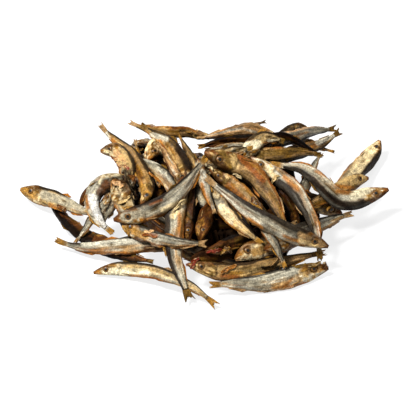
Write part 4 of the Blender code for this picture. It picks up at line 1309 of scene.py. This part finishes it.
def foot_sprats(sprats):
    """Lays sprats round the core's foot wherever the core stands high enough behind them."""
    rng = np.random.default_rng(FOOT_SEED)
    window = np.hanning(FOOT_SOFT_STEPS) / (FOOT_SOFT_STEPS // 2)
    laid = []
    for height, share in FOOT_LAYERS:
        ring = core_plan(share)
        ends = np.concatenate([ring, ring, ring])
        soft = np.stack([np.convolve(ends[:, k], window, mode="same") for k in (0, 1)], axis=1)
        run = np.concatenate([[0], np.cumsum(np.linalg.norm(np.diff(soft, axis=0), axis=1))])
        around = run[2 * len(ring)] - run[len(ring)]
        for start in np.arange(0, around, FOOT_STEP) + rng.uniform(0, FOOT_STEP):
            length = rng.uniform(*FOOT_LENGTHS)
            at = run[len(ring)] + start + length * (ALONG if rng.random() < 0.5 else ALONG[::-1])
            place = np.stack([np.interp(at, run, soft[:, k]) for k in (0, 1)], axis=1)
            outward = unit(place - CORE_MIDDLE)
            tilt = rng.uniform(-FOOT_TILT, FOOT_TILT) * (ALONG - 0.5) * 2
            spine = np.column_stack([place, height + tilt + FOOT_WAVE * np.sin(pi * ALONG * 2)])
            if np.median(core_height(place, sprats)) < height:
                continue
            spine[:, 2] = np.clip(spine[:, 2], FOOT_DEPTH * 0.42, None)
            lean = rng.uniform(-FOOT_LEAN, FOOT_LEAN)
            outward = np.column_stack([outward, np.zeros(len(outward))])
            tone = FOOT_TONES[len(laid) % len(FOOT_TONES)]
            laid.append(FootSprat(len(sprats) + len(laid), spine, outward, lean, FOOT_DEPTH, tone))
    return laid


def add_core(piece, sprats):
    """Packed flesh and skin under the sprats, lower than the solid core, its strands painted near black as
    shade.
    """
    inward = np.linspace(1, 0.03, CORE_ROWS)[:, None, None]
    plan = CORE_MIDDLE + (core_plan(CORE_SHRINK) - CORE_MIDDLE) * inward
    height = core_height(plan, sprats)
    rng = np.random.default_rng(CORE_SEED)
    across, deep = plan[..., 0] * 14, plan[..., 1] * 14
    strands = patches(rng, 40, 40, (across + deep + 2.5) / 5, across - deep)
    lumps = patches(rng, 16, 16, (plan[..., 0] + 0.12) / 0.24, plan[..., 1] / 0.12)
    height = np.maximum(height + 0.0012 * strands + 0.0016 * lumps, 0.0006)
    top = np.concatenate([plan, height[..., None]], axis=-1)
    foot = np.concatenate([plan[:1], np.zeros((1, CORE_SECTORS, 1))], axis=-1)
    points = np.concatenate([foot, top]).reshape(-1, 3)
    # Painted shade: near black, as in the heap's deep gaps, a little less dark on the strands.
    shade = over(np.broadcast_to(paint("night"), top.shape), paint("umber"), 0.25 * rise(0.1, 0.8, strands))
    colours = np.concatenate([shade[:1], shade]).reshape(-1, 3)
    piece.add(points, capped_tube(CORE_ROWS + 1, CORE_SECTORS), colours, points)


class Look:
    """A material's nodes, with short ways to add and join them."""

    def __init__(self, name):
        self.material = bpy.data.materials.new(name)
        self.material.use_nodes = True
        self.tree = self.material.node_tree
        self.shader = self.tree.nodes["Principled BSDF"]

    def node(self, kind, **settings):
        """Adds a node; a setting is the value of an input or of a property."""
        made = self.tree.nodes.new(kind)
        for key, value in settings.items():
            if key in made.inputs:
                made.inputs[key].default_value = value
            else:
                setattr(made, key, value)
        return made

    def link(self, output, node, name):
        """Joins an output to the named input of a node."""
        self.tree.links.new(output, node.inputs[name])

    def texture(self, kind, place, output, **settings):
        """Adds a texture that is laid out by a place, and gives one of its outputs."""
        made = self.node(kind, **settings)
        self.link(place, made, "Vector")
        return made.outputs[output]

    def stretched(self, place, scale):
        """The place with its axes stretched by a scale."""
        mapping = self.node("ShaderNodeMapping", Scale=scale)
        self.link(place, mapping, "Vector")
        return mapping.outputs["Vector"]

    def ranged(self, factor, low, high, least, most):
        """Carries a factor from low and high over to least and most."""
        ranged = self.node("ShaderNodeMapRange")
        for key, value in (("From Min", low), ("From Max", high), ("To Min", least), ("To Max", most)):
            ranged.inputs[key].default_value = value
        self.link(factor, ranged, "Value")
        return ranged.outputs["Result"]

    def shaded(self, under, factor, low, high, dark, bright):
        """Multiplies a colour by a shade that follows a texture."""
        mixed = self.node("ShaderNodeMix", data_type="RGBA", blend_type="MULTIPLY")
        mixed.inputs["Factor"].default_value = 1.0
        self.link(under, mixed, "A")
        self.link(self.ranged(factor, low, high, dark, bright), mixed, "B")
        return mixed.outputs["Result"]

    def raised(self, factor, strength, distance, under=None):
        """Raises the surface by a texture, over the relief that is there already."""
        relief = self.node("ShaderNodeBump", Strength=strength, Distance=distance)
        self.link(factor, relief, "Height")
        if under:
            self.link(under, relief, "Normal")
        return relief.outputs["Normal"]


# How each kind of skin looks: its roughness, the relief of its scales, how much its
# fibres streak it, and its gloss.
SKIN_LOOKS = {
    "silver_skin": (0.40, 0.35, 0.30, 0.22),
    "gold_skin": (0.44, 0.30, 0.32, 0.22),
    "cream_skin": (0.46, 0.25, 0.30, 0.22),
    "dark_skin": (0.42, 0.30, 0.34, 0.22),
    "pale_skin": (0.42, 0.35, 0.28, 0.22),
    "pink_skin": (0.44, 0.25, 0.30, 0.22),
    "foot_skin": (0.46, 0.30, 0.30, 0.22),
    "buried_skin": (0.60, 0.20, 0.30, 0.10),
    "fin_membrane": (0.42, 0.10, 0.28, 0.22),
    "torn_skin": (0.42, 0.15, 0.25, 0.22),
    "core_strands": (0.70, 0.20, 0.30, 0.05),
}
# How finely the textures repeat, in rounds for each metre.
FIBRE_SCALE = (110, 1500, 40)
SCALES_SCALE = (620, 820, 40)
GRAIN_SCALE, BLOTCH_SCALE, CLOUD_SCALE = 900.0, 210.0, 700.0
EYE_ROUGHNESS, EYE_GLOSS = 0.42, 0.3


def skin_material(name):
    """Dried skin: the sprat's own colouring, with fibres, scales and blotches in it."""
    rough, scale_relief, streaks, gloss = SKIN_LOOKS[name]
    look = Look(name)
    colour = look.node("ShaderNodeAttribute", attribute_name="skin_colour")
    place = look.node("ShaderNodeAttribute", attribute_name="skin_place").outputs["Vector"]
    solid = look.node("ShaderNodeTexCoord").outputs["Object"]
    along, laid = look.stretched(place, FIBRE_SCALE), look.stretched(place, SCALES_SCALE)
    fibres = look.texture("ShaderNodeTexNoise", along, "Fac", Scale=1.0, Detail=4.0, Roughness=0.65)
    grain = look.texture("ShaderNodeTexNoise", solid, "Fac", Scale=GRAIN_SCALE, Detail=3.0, Roughness=0.6)
    blotches = look.texture("ShaderNodeTexNoise", solid, "Fac", Scale=BLOTCH_SCALE, Detail=4.0, Roughness=0.6)
    scales = look.texture("ShaderNodeTexVoronoi", laid, "Distance", Scale=1.0, Randomness=0.7)

    toned = look.shaded(colour.outputs["Color"], fibres, 0.30, 0.70, 1 - streaks, 1 + streaks)
    toned = look.shaded(toned, grain, 0.3, 0.7, 0.44, 1.46)
    toned = look.shaded(toned, blotches, 0.3, 0.7, 0.56, 1.36)
    toned = look.shaded(toned, scales, 0.1, 0.8, 1.05, 0.90)
    look.link(toned, look.shader, "Base Color")
    look.link(look.ranged(blotches, 0.3, 0.7, rough - 0.1, rough + 0.12), look.shader, "Roughness")
    sheen = look.ranged(colour.outputs["Fac"], 0.02, 0.25, gloss * 0.25, gloss)
    look.link(sheen, look.shader, "Specular IOR Level")

    relief = look.raised(blotches, 0.6, 0.0011)
    relief = look.raised(fibres, 0.7, 0.0006, relief)
    relief = look.raised(scales, scale_relief, 0.0003, relief)
    relief = look.raised(grain, 0.4, 0.0003, relief)
    look.link(relief, look.shader, "Normal")
    return look.material


def eye_material():
    """Dull, glossy eyes: the rings' own colours, slightly cloudy."""
    look = Look("dried_eye")
    colour = look.node("ShaderNodeAttribute", attribute_name="skin_colour").outputs["Color"]
    solid = look.node("ShaderNodeTexCoord").outputs["Object"]
    cloud = look.texture("ShaderNodeTexNoise", solid, "Fac", Scale=CLOUD_SCALE)
    look.link(look.shaded(colour, cloud, 0.3, 0.7, 0.75, 1.2), look.shader, "Base Color")
    look.shader.inputs["Roughness"].default_value = EYE_ROUGHNESS
    look.shader.inputs["Specular IOR Level"].default_value = EYE_GLOSS
    return look.material


FLOOR_SIZE = 12.0
FLOOR_ROUGHNESS, FLOOR_GLOSS = 0.8, 0.2
FLOOR_GLOW = 0.80
FLOOR_GREYS = (0.15, 0.17)
FLOOR_CLOUD_SCALE = 3.0
# Soft studio light: each lamp's place, how wide it is and its power in watts.
LIGHTS = {
    "key": ((-0.55, -0.25, 1.10), 0.28, 39),
    "fill": ((0.9, -0.8, 0.7), 0.6, 2),
    "rim": ((0.5, 0.5, 1.2), 0.4, 7),
}
LIGHT_TARGET = (0, 0, 0.02)
SKY_STRENGTH = 0.12
WHITE = (1, 1, 1, 1)


def add_floor():
    """The pale surface that the heap lies on."""
    mesh = bpy.data.meshes.new("floor")
    half = FLOOR_SIZE / 2
    corners = [(-half, -half, 0), (half, -half, 0), (half, half, 0), (-half, half, 0)]
    mesh.from_pydata(corners, [], [(0, 1, 2, 3)])
    look = Look("pale_floor")
    look.shader.inputs["Roughness"].default_value = FLOOR_ROUGHNESS
    look.shader.inputs["Specular IOR Level"].default_value = FLOOR_GLOSS
    look.shader.inputs["Emission Color"].default_value = WHITE
    look.shader.inputs["Emission Strength"].default_value = FLOOR_GLOW
    cloud = look.node("ShaderNodeTexNoise", Scale=FLOOR_CLOUD_SCALE)
    ramp = look.node("ShaderNodeValToRGB")
    for element, grey in zip(ramp.color_ramp.elements, FLOOR_GREYS):
        element.color = (grey, grey, grey, 1)
    look.link(cloud.outputs["Fac"], ramp, "Fac")
    look.link(ramp.outputs["Color"], look.shader, "Base Color")
    mesh.materials.append(look.material)
    floor = bpy.data.objects.new("floor", mesh)
    bpy.context.scene.collection.objects.link(floor)


def aim(thing, place, target):
    """Puts a camera or a light at a place and points it at the target."""
    thing.location = place
    way = Vector(target) - Vector(place)
    thing.rotation_euler = way.to_track_quat("-Z", "Y").to_euler()


def add_light(name, place, size, power):
    """A square lamp that shines on the heap."""
    lamp = bpy.data.lights.new(name, "AREA")
    lamp.shape = "SQUARE"
    lamp.size = size
    lamp.energy = power
    light = bpy.data.objects.new(name, lamp)
    bpy.context.scene.collection.objects.link(light)
    aim(light, place, LIGHT_TARGET)


def add_camera():
    """The camera at the photo's place, with the photo's view."""
    lens = bpy.data.cameras.new("camera")
    lens.sensor_fit = "HORIZONTAL"
    lens.angle = 2 * atan(PHOTO_MIDDLE * PIXEL / VIEW_DISTANCE)
    lens.clip_start = 0.01
    camera = bpy.data.objects.new("camera", lens)
    bpy.context.scene.collection.objects.link(camera)
    aim(camera, tuple(FRONT.eye), (*AIM, 0.0))
    bpy.context.scene.camera = camera


def add_sky():
    """A faint even light from all round."""
    world = bpy.data.worlds.new("sky")
    world.use_nodes = True
    background = world.node_tree.nodes["Background"]
    background.inputs["Color"].default_value = WHITE
    background.inputs["Strength"].default_value = SKY_STRENGTH
    bpy.context.scene.world = world


def build_skins(name, sprats, size, heap, material):
    """Makes one piece of the skins of a group of sprats."""
    piece = Piece(name)
    for sprat, cell in zip(sprats, cells(len(sprats))):
        add_skin(piece, sprat, size, cell, heap)
    piece.build(material)


def main():
    """Lays out the sprats, then builds every piece, the floor, the light and the camera."""
    shown = [Sprat(*row) for row in SPRATS]
    hidden = [Sprat(*row) for row in SPRATS_BEHIND]
    settle(shown, FRONT, front_surface)
    settle(hidden, REAR, rear_surface)
    everything = [*shown, *hidden]
    for number, sprat in enumerate(everything):
        sprat.number = number
    buried = [sprat for sprat in shown if sprat.name.startswith("inner")]
    whole = [sprat for sprat in everything if sprat not in buried]
    foot = foot_sprats(everything)
    heap = Surroundings((*everything, *foot))

    for tone in TONES:
        group = [sprat for sprat in whole if sprat.tone == tone]
        build_skins(f"sprats_{tone}", group, FINE, heap, skin_material(f"{tone}_skin"))
    build_skins("sprats_foot", foot, MIDDLING, heap, skin_material("foot_skin"))
    build_skins("sprats_buried", buried, COARSE, heap, skin_material("buried_skin"))

    fins, eyes = Piece("sprat_fins"), Piece("sprat_eyes")
    for sprat in (*whole, *foot):
        add_fins(fins, sprat)
        add_eyes(eyes, sprat)
    fins.build(skin_material("fin_membrane"))
    eyes.build(eye_material())
    scraps = Piece("torn_scraps")
    add_scraps(scraps, heap)
    scraps.build(skin_material("torn_skin"))
    core = Piece("heap_core")
    add_core(core, everything)
    core.build(skin_material("core_strands"))

    add_floor()
    add_sky()
    for name, (place, size, power) in LIGHTS.items():
        add_light(name, place, size, power)
    add_camera()
    bpy.context.scene.view_settings.view_transform = "Standard"


main()
